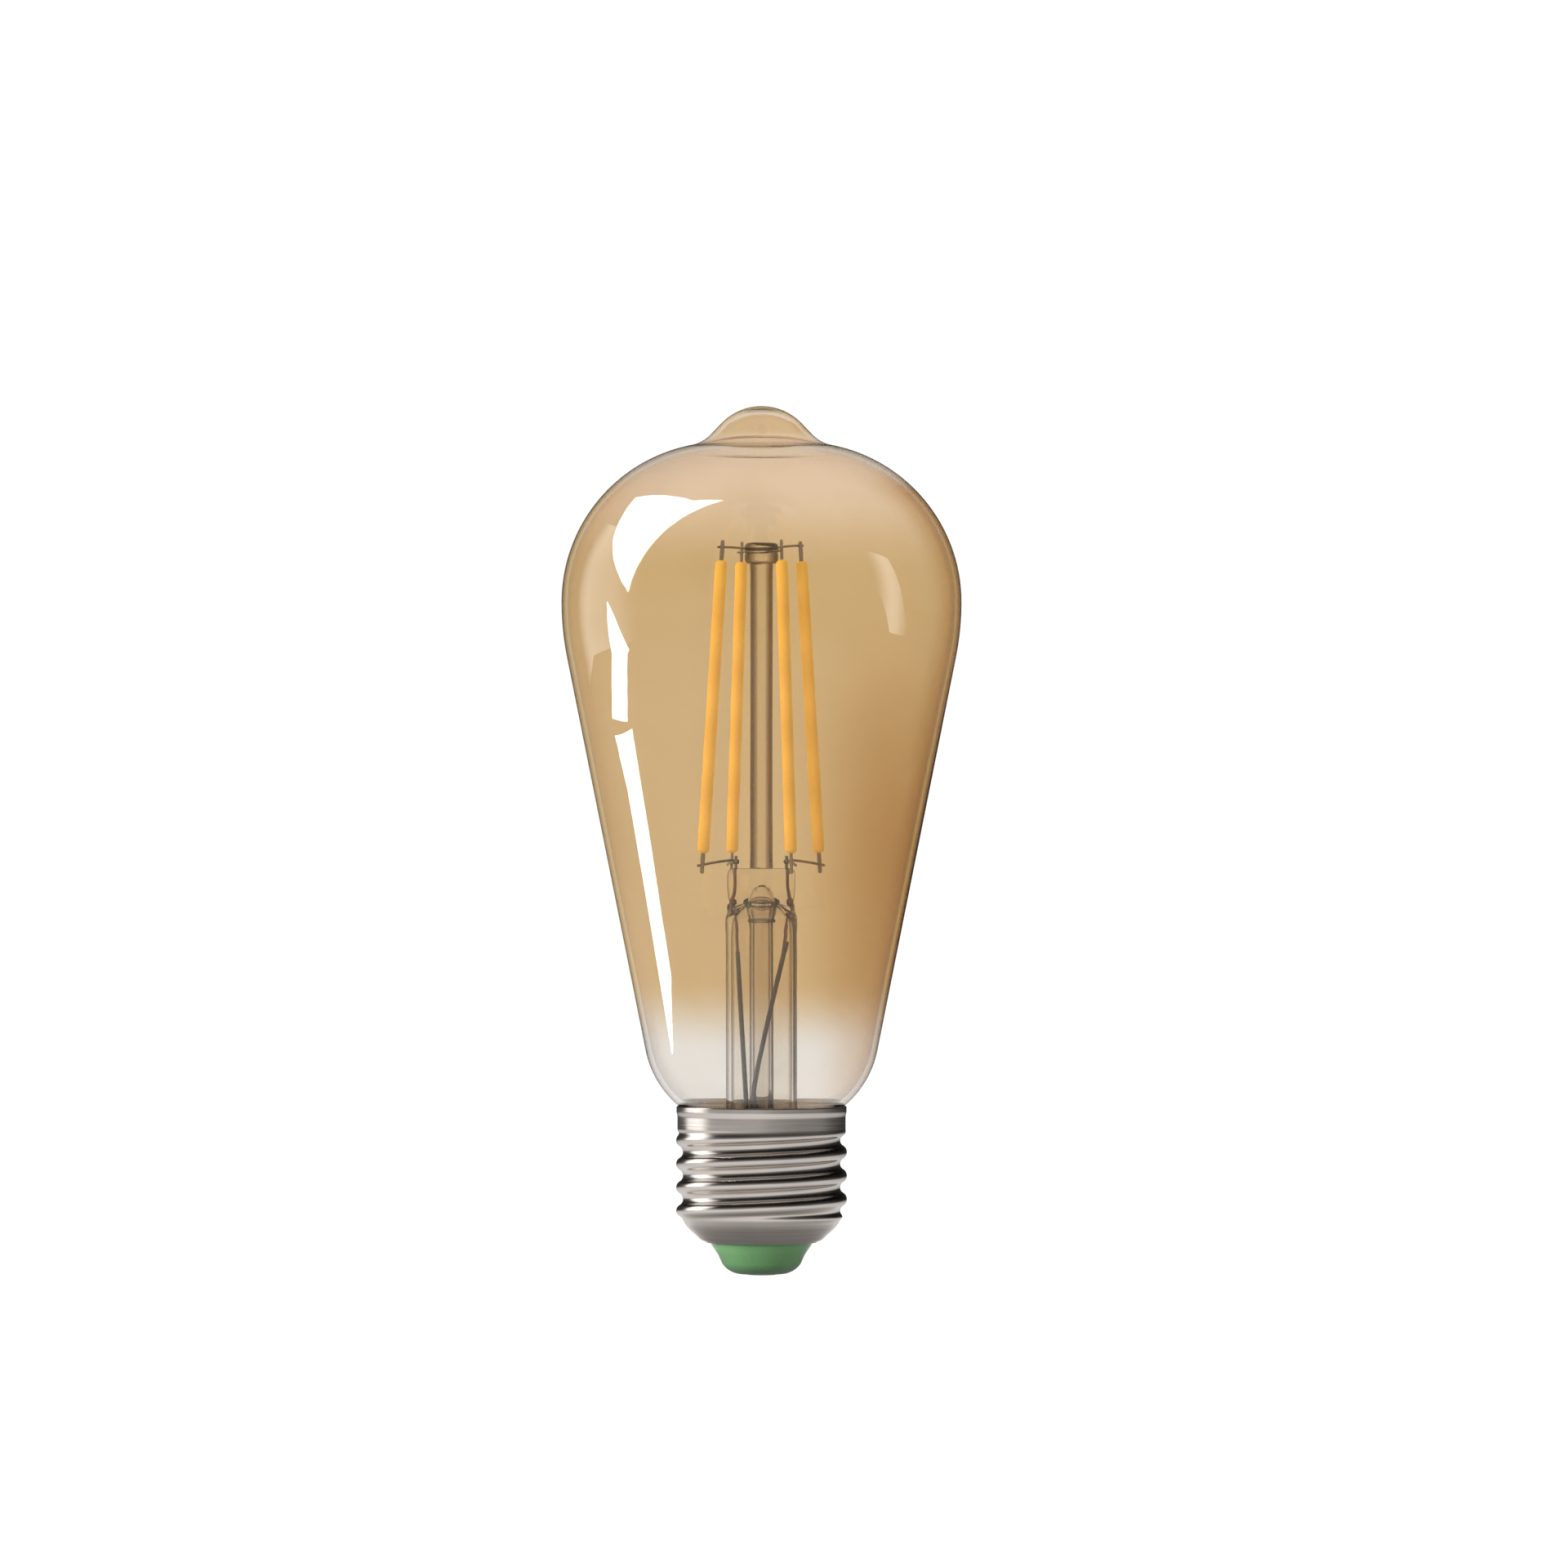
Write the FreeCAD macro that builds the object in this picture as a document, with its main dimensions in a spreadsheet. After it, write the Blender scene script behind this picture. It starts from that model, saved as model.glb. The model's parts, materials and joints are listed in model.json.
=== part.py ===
import FreeCAD, Part
import math
import operator
import os

import Sketcher
from FreeCAD import Placement, Rotation, Vector

# A filament-style smart lamp on an E27 screw cap, in millimetres.
# +Z is up and the lamp's axis is Z. The origin is the centre of the bottom contact's flat face.
# -Y is the front: the lead wires stand left and right of the axis, on X.

SIZES = {
    # glass envelope, from its drawn tip down to the neck in the cap
    "overall_height": 133.8,
    "glass_radius": 30.8,
    "equator_height": 103.6,
    "glass_wall": 0.9,
    "shoulder_arc": 24.64,
    "shoulder_slope": 11.0,
    "tip_hollow_arc": 5.7,
    "tip_slope": 46.0,
    "belly_arc": 43.0,
    "cone_slope": 11.31,
    "foot_height": 34.6,
    "foot_arc": 15.0,
    "foot_slope": 52.0,
    "neck_arc": 2.9,
    "neck_end_height": 16.0,
    # glass mount: flare tube, press, exhaust tube, rod and bead
    "stem_radius": 5.5,
    "stem_wall": 0.8,
    "flare_height": 25.6,
    "flare_arc": 12.0,
    "flare_slope": 52.0,
    "flare_rim": 0.9,
    "bore_height": 54.0,
    "press_base_height": 56.3,
    "press_top_height": 62.7,
    "press_width": 10.5,
    "press_depth": 4.4,
    "exhaust_radius": 1.83,
    "exhaust_wall": 0.5,
    "exhaust_seal_height": 17.6,
    "exhaust_tip_height": 14.6,
    "rod_radius": 1.8,
    "bead_base_height": 109.5,
    "bead_top_height": 112.8,
    "bead_radius": 2.65,
    # filaments, standing round the rod and spreading downwards
    "filament_turn": 27.0,
    "filament_foot_height": 65.0,
    "filament_foot_offset": 10.0,
    "filament_length": 45.1,
    "filament_lean": 3.94,
    "coat_radius": 0.95,
    "coat_rounding": 0.6,
    "strip_width": 1.0,
    "strip_depth": 0.4,
    "strip_inset": 0.6,
    "die_pitch": 1.5,
    "die_length": 0.7,
    "die_width": 0.5,
    "die_depth": 0.15,
    "die_count": 28,
    "tab_width": 0.65,
    "tab_depth": 0.3,
    "tab_reach": 3.1,
    # wires
    "top_wire_radius": 0.18,
    "top_wire_length": 14.8,
    "top_wire_outer_height": 112.0,
    "top_wire_inner_height": 111.3,
    "bridge_radius": 0.2,
    "bridge_height": 63.2,
    "bridge_rise": 0.5,
    "bridge_overhang": 0.6,
    "bridge_beside_tab": 0.45,
    "bridge_beside_lead": 0.74,
    "bridge_behind_lead": 0.1,
    "wire_bend": 1.5,
    "lead_offset": 3.9,
    "inner_lead_radius": 0.25,
    "inner_lead_height": 64.6,
    "seal_radius": 0.2,
    "seal_base_height": 54.3,
    "outer_lead_radius": 0.25,
    "sleeve_radius": 0.5,
    "sleeve_bore": 0.3,
    # E27 cap
    "thread_pitch": 3.629,
    "thread_crest_radius": 13.15,
    "thread_root_radius": 12.1,
    "thread_crest_height": 18.94,
    "thread_top_height": 22.5,
    "thread_top_run": 1.5,
    "thread_base_height": 8.3,
    "thread_base_run": 1.4,
    "skirt_radius": 12.95,
    "rim_radius": 13.1,
    "rim_height": 26.0,
    "rim_step_height": 24.4,
    "rim_step_run": 0.8,
    "cone_base_radius": 9.5,
    "cone_base_height": 5.5,
    "cone_widening": 0.8,
    "lip_radius": 8.2,
    "lip_height": 5.0,
    "lip_widening": 3.0,
    "lip_softness": 0.3,
    "cap_wall": 0.28,
    "cement_base_height": 17.5,
    "cement_radius": 11.75,
    # insulator and centre contact
    "insulator_top_height": 6.0,
    "insulator_flange_radius": 8.9,
    "insulator_radius": 7.8,
    "insulator_foot_radius": 5.6,
    "insulator_foot_height": 1.3,
    "insulator_face_radius": 3.9,
    "insulator_face_height": 0.15,
    "insulator_wall": 1.6,
    "contact_radius": 2.6,
    "contact_depth": 0.5,
    "contact_edge": 0.2,
    "shank_radius": 0.9,
    "shank_height": 7.0,
    # driver and radio
    "board_radius": 10.5,
    "board_height": 11.5,
    "board_depth": 1.0,
    "driver_sleeve_base_height": 8.8,
    "driver_sleeve_top_height": 15.0,
    "driver_sleeve_wall": 0.3,
    "fit_gap": 0.05,
    "can_radius": 2.5,
    "can_length": 10.0,
    "choke_radius": 3.0,
    "choke_length": 4.6,
    "choke_waist_radius": 1.5,
    "choke_flange": 0.8,
    "fuse_radius": 1.2,
    "fuse_length": 6.5,
    "varistor_radius": 2.5,
    "varistor_depth": 2.0,
    "part_gap": 0.3,
    "supply_wire_radius": 0.3,
}

doc = FreeCAD.newDocument("filament_lamp")
sheet = doc.addObject("Spreadsheet::Sheet", "Sizes")
for row, (alias, number) in enumerate(SIZES.items(), start=1):
    sheet.set(f"A{row}", alias)
    sheet.set(f"B{row}", str(number))
    sheet.setAlias(f"B{row}", alias)
doc.recompute()

subparts = []


class Size:
    """A number from the sheet, or worked out from the sheet, with the expression that binds it."""

    def __init__(self, number, text):
        self.number = number
        self.text = text

    def __float__(self):
        return self.number

    def __add__(self, other):
        return combine(self, "+", other)

    def __radd__(self, other):
        return combine(other, "+", self)

    def __sub__(self, other):
        return combine(self, "-", other)

    def __rsub__(self, other):
        return combine(other, "-", self)

    def __mul__(self, other):
        return combine(self, "*", other)

    def __rmul__(self, other):
        return combine(other, "*", self)

    def __truediv__(self, other):
        return combine(self, "/", other)

    def __neg__(self):
        return combine(0, "-", self)


SIGNS = {"+": operator.add, "-": operator.sub, "*": operator.mul, "/": operator.truediv}


def as_size(value):
    return value if isinstance(value, Size) else Size(float(value), repr(float(value)))


def combine(left, sign, right):
    left, right = as_size(left), as_size(right)
    number = SIGNS[sign](left.number, right.number)
    return Size(number, f"({left.text} {sign} {right.text})")


def cell(alias):
    return Size(float(sheet.get(alias)), "Sizes." + alias)


def sine(angle):
    return Size(math.sin(math.radians(angle.number)), f"sin({angle.text} * 1 deg)")


def cosine(angle):
    return Size(math.cos(math.radians(angle.number)), f"cos({angle.text} * 1 deg)")


def bind(item, name, value):
    """Sets one property of a document object and binds it to the sheet."""
    item.setExpression(name, as_size(value).text)


def subpart(item, label):
    """Names a finished document object as one sub-part of the lamp."""
    item.Label = label
    subparts.append(item)
    return item


def place(item, position=(0, 0, 0), turn=0.0, lean=0.0):
    """Puts an item at a position, leaning about its own Y and then turned about Z."""
    rotation = Rotation(Vector(0, 0, 1), float(turn)) * Rotation(Vector(0, 1, 0), float(lean))
    item.Placement = Placement(Vector(*[float(value) for value in position]), rotation)
    for letter, value in zip("xyz", position):
        bind(item, "Placement.Base." + letter, value)
    return item


# ---- sketches and features ----


def new_body(label):
    return subpart(doc.addObject("PartDesign::Body", label), label)


def datum(body, role):
    return next(item for item in body.Origin.OriginFeatures if item.Role == role)


def new_sketch(body, name, role, lift=0):
    """A sketch on one of the body's own planes, lifted along that plane's normal."""
    sketch = body.newObject("Sketcher::SketchObject", name)
    sketch.AttachmentSupport = [(datum(body, role), "")]
    sketch.MapMode = "FlatFace"
    sketch.AttachmentOffset = Placement(Vector(0, 0, float(lift)), Rotation())
    bind(sketch, "AttachmentOffset.Base.z", lift)
    return sketch


def hold(sketch, kind, name, places, value):
    """Adds one dimension to a sketch and binds it to the sheet."""
    index = sketch.addConstraint(Sketcher.Constraint(kind, *places, float(value)))
    sketch.renameConstraint(index, name)
    bind(sketch, "Constraints." + name, value)


def add_run(sketch, start, end, radius, turn):
    """Adds a straight or round run. Returns its index and which of its ends come first and last."""
    if radius is None:
        return sketch.addGeometry(Part.LineSegment(start, end)), 1, 2
    chord = end - start
    side = Vector(-chord.y, chord.x, 0).normalize() * turn
    rise = math.sqrt(float(radius) ** 2 - chord.Length ** 2 / 4)
    centre = (start + end) / 2 + side * rise
    first, last = (start - centre, end - centre) if turn > 0 else (end - centre, start - centre)
    circle = Part.Circle(centre, Vector(0, 0, 1), float(radius))
    angles = [math.atan2(arm.y, arm.x) for arm in (first, last)]
    index = sketch.addGeometry(Part.ArcOfCircle(circle, *angles))
    return (index, 1, 2) if turn > 0 else (index, 2, 1)


def outline(body, name, role, corners, lift=0):
    """A closed sketch. A corner is (x, y), and the run that leaves it is straight, or
    (x, y, radius, turn), and the run is an arc, with turn 1 anticlockwise and -1 clockwise."""
    sketch = new_sketch(body, name, role, lift)
    points = [Vector(float(corner[0]), float(corner[1]), 0) for corner in corners]
    runs = []
    for index, corner in enumerate(corners):
        radius, turn = corner[2:] if len(corner) > 2 else (None, 1)
        end = points[(index + 1) % len(points)]
        runs.append(add_run(sketch, points[index], end, radius, turn))
    for index, (corner, run) in enumerate(zip(corners, runs)):
        after = runs[(index + 1) % len(runs)]
        join = Sketcher.Constraint("Coincident", run[0], run[2], after[0], after[1])
        sketch.addConstraint(join)
        hold(sketch, "DistanceX", f"across_{index}", (-1, 1, run[0], run[1]), corner[0])
        hold(sketch, "DistanceY", f"along_{index}", (-1, 1, run[0], run[1]), corner[1])
        if len(corner) > 2:
            hold(sketch, "Radius", f"arc_{index}", (run[0],), corner[2])
    return sketch


def box_outline(body, name, role, size, centre=(0, 0), lift=0):
    """A rectangular sketch, given by its two sides and its centre."""
    low = [middle - side / 2 for middle, side in zip(centre, size)]
    high = [middle + side / 2 for middle, side in zip(centre, size)]
    corners = [(low[0], low[1]), (high[0], low[1]), (high[0], high[1]), (low[0], high[1])]
    return outline(body, name, role, corners, lift)


def discs(body, name, role, centres, radius, lift=0):
    """A sketch of equal circles."""
    sketch = new_sketch(body, name, role, lift)
    for index, (across, along) in enumerate(centres):
        circle = Part.Circle(Vector(float(across), float(along), 0), Vector(0, 0, 1), float(radius))
        geometry = sketch.addGeometry(circle)
        hold(sketch, "DistanceX", f"across_{index}", (-1, 1, geometry, 3), across)
        hold(sketch, "DistanceY", f"along_{index}", (-1, 1, geometry, 3), along)
        hold(sketch, "Radius", f"radius_{index}", (geometry,), radius)
    return sketch


def turned(body, sketch, kind="Revolution"):
    """A full turn of the sketch about the Z axis: a Revolution adds and a Groove cuts."""
    feature = body.newObject("PartDesign::" + kind, f"{sketch.Name}_{kind.lower()}")
    feature.Profile = sketch
    feature.ReferenceAxis = (sketch, ["V_Axis"])
    feature.Angle = 360
    sketch.Visibility = False
    return feature


def pad(body, sketch, length, centred=False):
    feature = body.newObject("PartDesign::Pad", sketch.Name + "_pad")
    feature.Profile = sketch
    feature.SideType = "Symmetric" if centred else "One side"
    bind(feature, "Length", length)
    return feature


def through_pocket(body, sketch):
    """A pocket that passes through the whole piece, both ways from the sketch."""
    feature = body.newObject("PartDesign::Pocket", sketch.Name + "_pocket")
    feature.Profile = sketch
    feature.SideType = "Symmetric"
    feature.Type = "ThroughAll"
    return feature


def row_of(body, features, role, count, length):
    """Repeats features in a row along one of the body's axes."""
    pattern = body.newObject("PartDesign::LinearPattern", features[0].Name + "_row")
    pattern.Originals = features
    pattern.Direction = (datum(body, role), [""])
    pattern.Occurrences = int(float(count))
    bind(pattern, "Length", length)
    body.Tip = pattern
    return pattern


# ---- round wire along straight runs and tangent arcs ----


def bent_rod(points, bend, radius):
    """A round rod along straight runs that are joined by tangent arcs."""
    points = [Vector(*[float(value) for value in point]) for point in points]
    edges = []
    here = points[0]
    for before, corner, after in zip(points, points[1:], points[2:]):
        into = (corner - before).normalize()
        out = (after - corner).normalize()
        half = into.getAngle(out) / 2
        first = corner - into * bend * math.tan(half)
        last = corner + out * bend * math.tan(half)
        middle = corner + (out - into).normalize() * (bend / math.cos(half) - bend)
        edges.append(Part.LineSegment(here, first).toShape())
        edges.append(Part.Arc(first, middle, last).toShape())
        here = last
    edges.append(Part.LineSegment(here, points[-1]).toShape())
    section = Part.Circle(points[0], points[1] - points[0], float(radius)).toShape()
    return Part.Wire(edges).makePipeShell([Part.Wire(section)], True, True)


def shaped(label, shape, turn=0.0):
    """A sub-part whose shape is set directly."""
    item = subpart(doc.addObject("Part::Feature", label), label)
    item.Shape = shape
    item.Placement = Placement(Vector(0, 0, 0), Rotation(Vector(0, 0, 1), turn))
    return item


# ---- glass envelope ----


def envelope_corners(inset):
    """Half of the envelope's outline, from the neck's end up to the tip. inset is 0 on the outer
    face and the wall on the inner one: every arc keeps its centre, so the wall is even."""
    cone, foot = cell("cone_slope"), cell("foot_slope")
    shoulder, tip = cell("shoulder_slope"), cell("tip_slope")
    belly, wide = cell("belly_arc"), cell("shoulder_arc")
    hollow, round_foot, neck = cell("tip_hollow_arc"), cell("foot_arc"), cell("neck_arc")
    equator, base = cell("equator_height"), cell("foot_height")

    belly_x = cell("glass_radius") - belly
    wide_x = cell("glass_radius") - wide
    cone_top = (belly_x + belly * cosine(cone), equator - belly * sine(cone))
    cone_run = (cone_top[1] - base) * sine(cone) / cosine(cone)
    foot_x = cone_top[0] - cone_run - round_foot * cosine(cone)
    foot_z = base + round_foot * sine(cone)
    neck_x = foot_x + (round_foot + neck) * cosine(foot)
    neck_z = foot_z - (round_foot + neck) * sine(foot)
    hollow_x = wide_x + (wide + hollow) * sine(shoulder)
    hollow_z = equator + (wide + hollow) * cosine(shoulder)
    height = cell("overall_height")
    drop = hollow_x * sine(tip) + hollow_z * cosine(tip) - hollow - height * cosine(tip)
    dome = drop / (1 - cosine(tip))
    dome_z = height - dome

    return [
        (neck_x - neck - inset, cell("neck_end_height")),
        (neck_x - neck - inset, neck_z, neck + inset, -1),
        (
            neck_x - (neck + inset) * cosine(foot),
            neck_z + (neck + inset) * sine(foot),
            round_foot - inset,
            1,
        ),
        (
            foot_x + (round_foot - inset) * cosine(cone),
            foot_z - (round_foot - inset) * sine(cone),
        ),
        (
            belly_x + (belly - inset) * cosine(cone),
            equator - (belly - inset) * sine(cone),
            belly - inset,
            1,
        ),
        (cell("glass_radius") - inset, equator, wide - inset, 1),
        (
            wide_x + (wide - inset) * sine(shoulder),
            equator + (wide - inset) * cosine(shoulder),
            hollow + inset,
            -1,
        ),
        (hollow_x - (hollow + inset) * sine(tip), hollow_z - (hollow + inset) * cosine(tip)),
        ((dome - inset) * sine(tip), dome_z + (dome - inset) * cosine(tip), dome - inset, 1),
        (as_size(0), height - inset),
        (as_size(0), cell("neck_end_height")),
    ]


def glass_bulb():
    body = new_body("glass_bulb")
    turned(body, outline(body, "envelope_outer", "XZ_Plane", envelope_corners(as_size(0))))
    inner = outline(body, "envelope_inner", "XZ_Plane", envelope_corners(cell("glass_wall")))
    turned(body, inner, "Groove")


def neck_radius():
    return envelope_corners(as_size(0))[0][0]


# ---- glass mount ----


def stem_glass():
    """Flare tube, closed above by the press that the lead wires pass through."""
    body = new_body("stem_glass")
    radius, wall, arc = cell("stem_radius"), cell("stem_wall"), cell("flare_arc")
    slope, start, rim = cell("flare_slope"), cell("flare_height"), cell("neck_end_height")
    press = cell("press_base_height")
    arc_x = radius + arc

    def flare_end(reach):
        return (arc_x - reach * cosine(slope), start - reach * sine(slope))

    inner_end = flare_end(arc + wall)
    tube = [
        (as_size(0), rim - cell("flare_rim")),
        (neck_radius(), rim - cell("flare_rim")),
        (neck_radius(), rim),
        (neck_radius() - cell("glass_wall"), rim),
        (*flare_end(arc), arc, -1),
        (radius, start),
        (radius, press - wall, wall * 2, 1),
        (radius - wall * 2, press + wall),
        (as_size(0), press + wall),
    ]
    turned(body, outline(body, "tube_outer", "XZ_Plane", tube))
    press_size = (cell("press_width"), cell("press_depth"))
    slab = box_outline(body, "press_slab", "XY_Plane", press_size, lift=cell("bore_height"))
    pad(body, slab, cell("press_top_height") - cell("bore_height"))
    exhaust = cell("exhaust_radius")
    bore = [
        (as_size(0), rim - cell("flare_rim")),
        (inner_end[0], rim - cell("flare_rim")),
        (*inner_end, arc + wall, -1),
        (radius - wall, start),
        (radius - wall, cell("bore_height")),
        (exhaust, press, exhaust, 1),
        (as_size(0), press + exhaust),
    ]
    turned(body, outline(body, "tube_bore", "XZ_Plane", bore), "Groove")
    offset = cell("lead_offset")
    holes = discs(
        body,
        "seal_holes",
        "XY_Plane",
        [(-offset, 0), (offset, 0)],
        cell("seal_radius"),
        lift=cell("press_top_height"),
    )
    drilled = body.newObject("PartDesign::Pocket", "seal_pocket")
    drilled.Profile = holes
    bind(drilled, "Length", cell("press_top_height") - cell("bore_height"))


def exhaust_tube():
    """Thin tube that the lamp was pumped and filled through, sealed at its lower end."""
    body = new_body("exhaust_tube")
    radius, wall = cell("exhaust_radius"), cell("exhaust_wall")
    top, seal = cell("press_base_height"), cell("exhaust_seal_height")
    tip = cell("exhaust_tip_height")
    tube = [
        (as_size(0), tip),
        (wall, tip),
        (radius, seal),
        (radius, top),
        (radius - wall, top),
        (radius - wall, seal + wall),
        (as_size(0), tip + wall * 3),
    ]
    turned(body, outline(body, "exhaust_wall_line", "XZ_Plane", tube))


def arbor_rod():
    body = new_body("arbor_rod")
    low, high = cell("press_top_height"), cell("bead_base_height")
    circle = discs(body, "rod_circle", "XY_Plane", [(0, 0)], cell("rod_radius"), lift=low)
    pad(body, circle, high - low)


def arbor_bead():
    """Glass button on the rod. The two top wires cross inside it, one above the other."""
    body = new_body("arbor_bead")
    low, high, end = cell("bead_base_height"), cell("bead_top_height"), cell("rod_radius")
    swell = cell("bead_radius") - end
    half = (high - low) / 2
    arc = (half * half + swell * swell) / (2 * swell)
    corners = [(as_size(0), low), (end, low, arc, 1), (end, high), (as_size(0), high)]
    turned(body, outline(body, "bead_outline", "XZ_Plane", corners))
    aside = wire_aside()
    for role, name in (("YZ_Plane", "top_wire_outer"), ("XZ_Plane", "top_wire_inner")):
        centre = (aside, cell(name + "_height"))
        radius = cell("top_wire_radius")
        through_pocket(body, discs(body, name + "_hole", role, [centre], radius))
    place(body, turn=cell("filament_turn"))


# ---- wires ----


def wire_aside():
    """How far a top wire's axis lies beside the flat of the tab that it is welded to."""
    return cell("tab_depth") / 2 + cell("top_wire_radius")


def top_wires():
    for label, role in (("top_wire_outer", "YZ_Plane"), ("top_wire_inner", "XZ_Plane")):
        body = new_body(label)
        centre = (wire_aside(), cell(label + "_height"))
        circle = discs(body, label + "_circle", role, [centre], cell("top_wire_radius"))
        pad(body, circle, cell("top_wire_length"), centred=True)
        place(body, turn=cell("filament_turn"))


def bottom_wires():
    """Each bridge wire runs from one filament's foot past its lead to the next one's foot.
    The right one is the left one turned half a turn about the lamp's axis."""
    height = float(cell("bridge_height"))
    lean = math.tan(math.radians(float(cell("filament_lean"))))
    foot = float(cell("filament_foot_offset")) + float(cell("bridge_overhang"))
    reach = foot + (float(cell("filament_foot_height")) - height) * lean
    beside = float(cell("bridge_beside_tab"))
    ends = []
    for extra, side in ((180.0, -beside), (90.0, beside)):
        angle = math.radians(float(cell("filament_turn")) + extra)
        outward = Vector(math.cos(angle), math.sin(angle), 0)
        across = Vector(-math.sin(angle), math.cos(angle), 0)
        ends.append(outward * reach + across * side + Vector(0, 0, height))
    weld = Vector(
        float(cell("bridge_beside_lead")) - float(cell("lead_offset")),
        float(cell("bridge_behind_lead")),
        height + float(cell("bridge_rise")),
    )
    shape = bent_rod([ends[0], weld, ends[1]], float(cell("wire_bend")), cell("bridge_radius"))
    shaped("bottom_wire_left", shape)
    shaped("bottom_wire_right", shape, 180.0)


def press_leads():
    """The straight lead pieces in and just above the press, left and right."""
    pieces = (
        ("inner_lead", "inner_lead_radius", "press_top_height", "inner_lead_height"),
        ("seal_wire", "seal_radius", "seal_base_height", "press_top_height"),
    )
    for name, radius, low, high in pieces:
        for side, sign in (("left", -1), ("right", 1)):
            label = f"{name}_{side}"
            rod = subpart(doc.addObject("Part::Cylinder", label), label)
            bind(rod, "Radius", cell(radius))
            bind(rod, "Height", cell(high) - cell(low))
            place(rod, (sign * cell("lead_offset"), as_size(0), cell(low)))


def outer_leads():
    """Sleeved leads from the press down the flare, round the exhaust tube, to the board."""
    offset, top = cell("lead_offset"), cell("seal_base_height")
    board = cell("board_height") + cell("board_depth")
    routes = {
        "left": [
            (-offset, 0, top),
            (-3.6, -0.6, 50),
            (-2.5, -2.0, 30),
            (-2.1, -2.3, 24),
            (-6.5, -1.5, 15.5),
            (-6.5, -1.5, board),
        ],
        "right": [
            (offset, 0, top),
            (3.8, -1.0, 51.5),
            (-1.1, -3.3, 31),
            (-1.2, -3.6, 25),
            (6.5, -1.5, 15.5),
            (6.5, -1.5, board),
        ],
    }
    bend = float(cell("wire_bend"))
    for side, route in routes.items():
        shaped(f"outer_lead_{side}", bent_rod(route, bend, cell("outer_lead_radius")))
        outside = bent_rod(route[1:-1], bend, cell("sleeve_radius"))
        bore = bent_rod(route[1:-1], bend, cell("sleeve_bore"))
        shaped(f"lead_sleeve_{side}", outside.cut(bore))


# ---- filaments ----


def filament(number):
    """One LED filament, built upright from its foot and then leant over and turned into place."""
    angle = cell("filament_turn") + 90 * (number - 1)
    length, inset = cell("filament_length"), cell("strip_inset")
    strip_size = (cell("strip_width"), cell("strip_depth"))
    row_length = (cell("die_count") - 1) * cell("die_pitch")
    row_start = (length - row_length) / 2

    coat = new_body(f"filament_{number}_coat")
    circle = discs(coat, f"coat_{number}_circle", "XY_Plane", [(0, 0)], cell("coat_radius"))
    stick = pad(coat, circle, length)
    doc.recompute()
    rounding = coat.newObject("PartDesign::Fillet", f"coat_{number}_ends")
    ends = [f"Edge{i + 1}" for i, edge in enumerate(stick.Shape.Edges) if edge.isClosed()]
    rounding.Base = (stick, ends)
    bind(rounding, "Radius", cell("coat_rounding"))
    slot = box_outline(coat, f"coat_{number}_slot", "XY_Plane", strip_size)
    through_pocket(coat, slot)
    channel_size = (cell("die_width"), row_length + cell("die_length"))
    channel = box_outline(
        coat, f"coat_{number}_channel", "XZ_Plane", channel_size, (0, length / 2)
    )
    carved = coat.newObject("PartDesign::Pocket", f"coat_{number}_channel_pocket")
    carved.Profile = channel
    carved.Reversed = True
    bind(carved, "Length", cell("strip_depth") / 2 + cell("die_depth"))

    strip = new_body(f"filament_{number}_strip")
    section = box_outline(strip, f"strip_{number}", "XY_Plane", strip_size, lift=inset)
    pad(strip, section, length - 2 * inset)

    dies = new_body(f"filament_{number}_dies")
    die_size = (cell("die_width"), cell("die_length"))
    front = cell("strip_depth") / 2
    die = box_outline(dies, f"die_{number}", "XZ_Plane", die_size, (0, row_start), lift=front)
    first = pad(dies, die, cell("die_depth"))
    row_of(dies, [first], "Z_Axis", cell("die_count"), row_length)

    tabs = new_body(f"filament_{number}_tabs")
    tab_size = (cell("tab_width"), cell("tab_depth"))
    reach = cell("tab_reach") + inset
    lower = box_outline(tabs, f"tab_low_{number}", "XY_Plane", tab_size, lift=inset - reach)
    pad(tabs, lower, reach)
    upper = box_outline(tabs, f"tab_high_{number}", "XY_Plane", tab_size, lift=length - inset)
    pad(tabs, upper, reach)

    foot = cell("filament_foot_offset")
    position = (foot * cosine(angle), foot * sine(angle), cell("filament_foot_height"))
    for body in (coat, strip, dies, tabs):
        place(body, position, turn=angle, lean=-cell("filament_lean"))


# ---- screw cap ----


def smooth_step(low, high, value):
    share = min(max((value - low) / (high - low), 0.0), 1.0)
    return share * share * (3 - 2 * share)


def soft_minimum(first, second, softness):
    return (first + second - math.hypot(first - second, softness)) / 2


def knuckle_radius(from_crest):
    """Radius of the rolled thread at an axial distance from its crest: crest and root are arcs of
    one radius, tangent to each other half way."""
    crest, trough = float(cell("thread_crest_radius")), float(cell("thread_root_radius"))
    half_pitch = float(cell("thread_pitch")) / 2
    depth = crest - trough
    arc = (half_pitch ** 2 + depth ** 2) / (4 * depth)
    if from_crest < half_pitch / 2:
        return crest - arc + math.sqrt(arc ** 2 - from_crest ** 2)
    return trough + arc - math.sqrt(arc ** 2 - (half_pitch - from_crest) ** 2)


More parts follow.
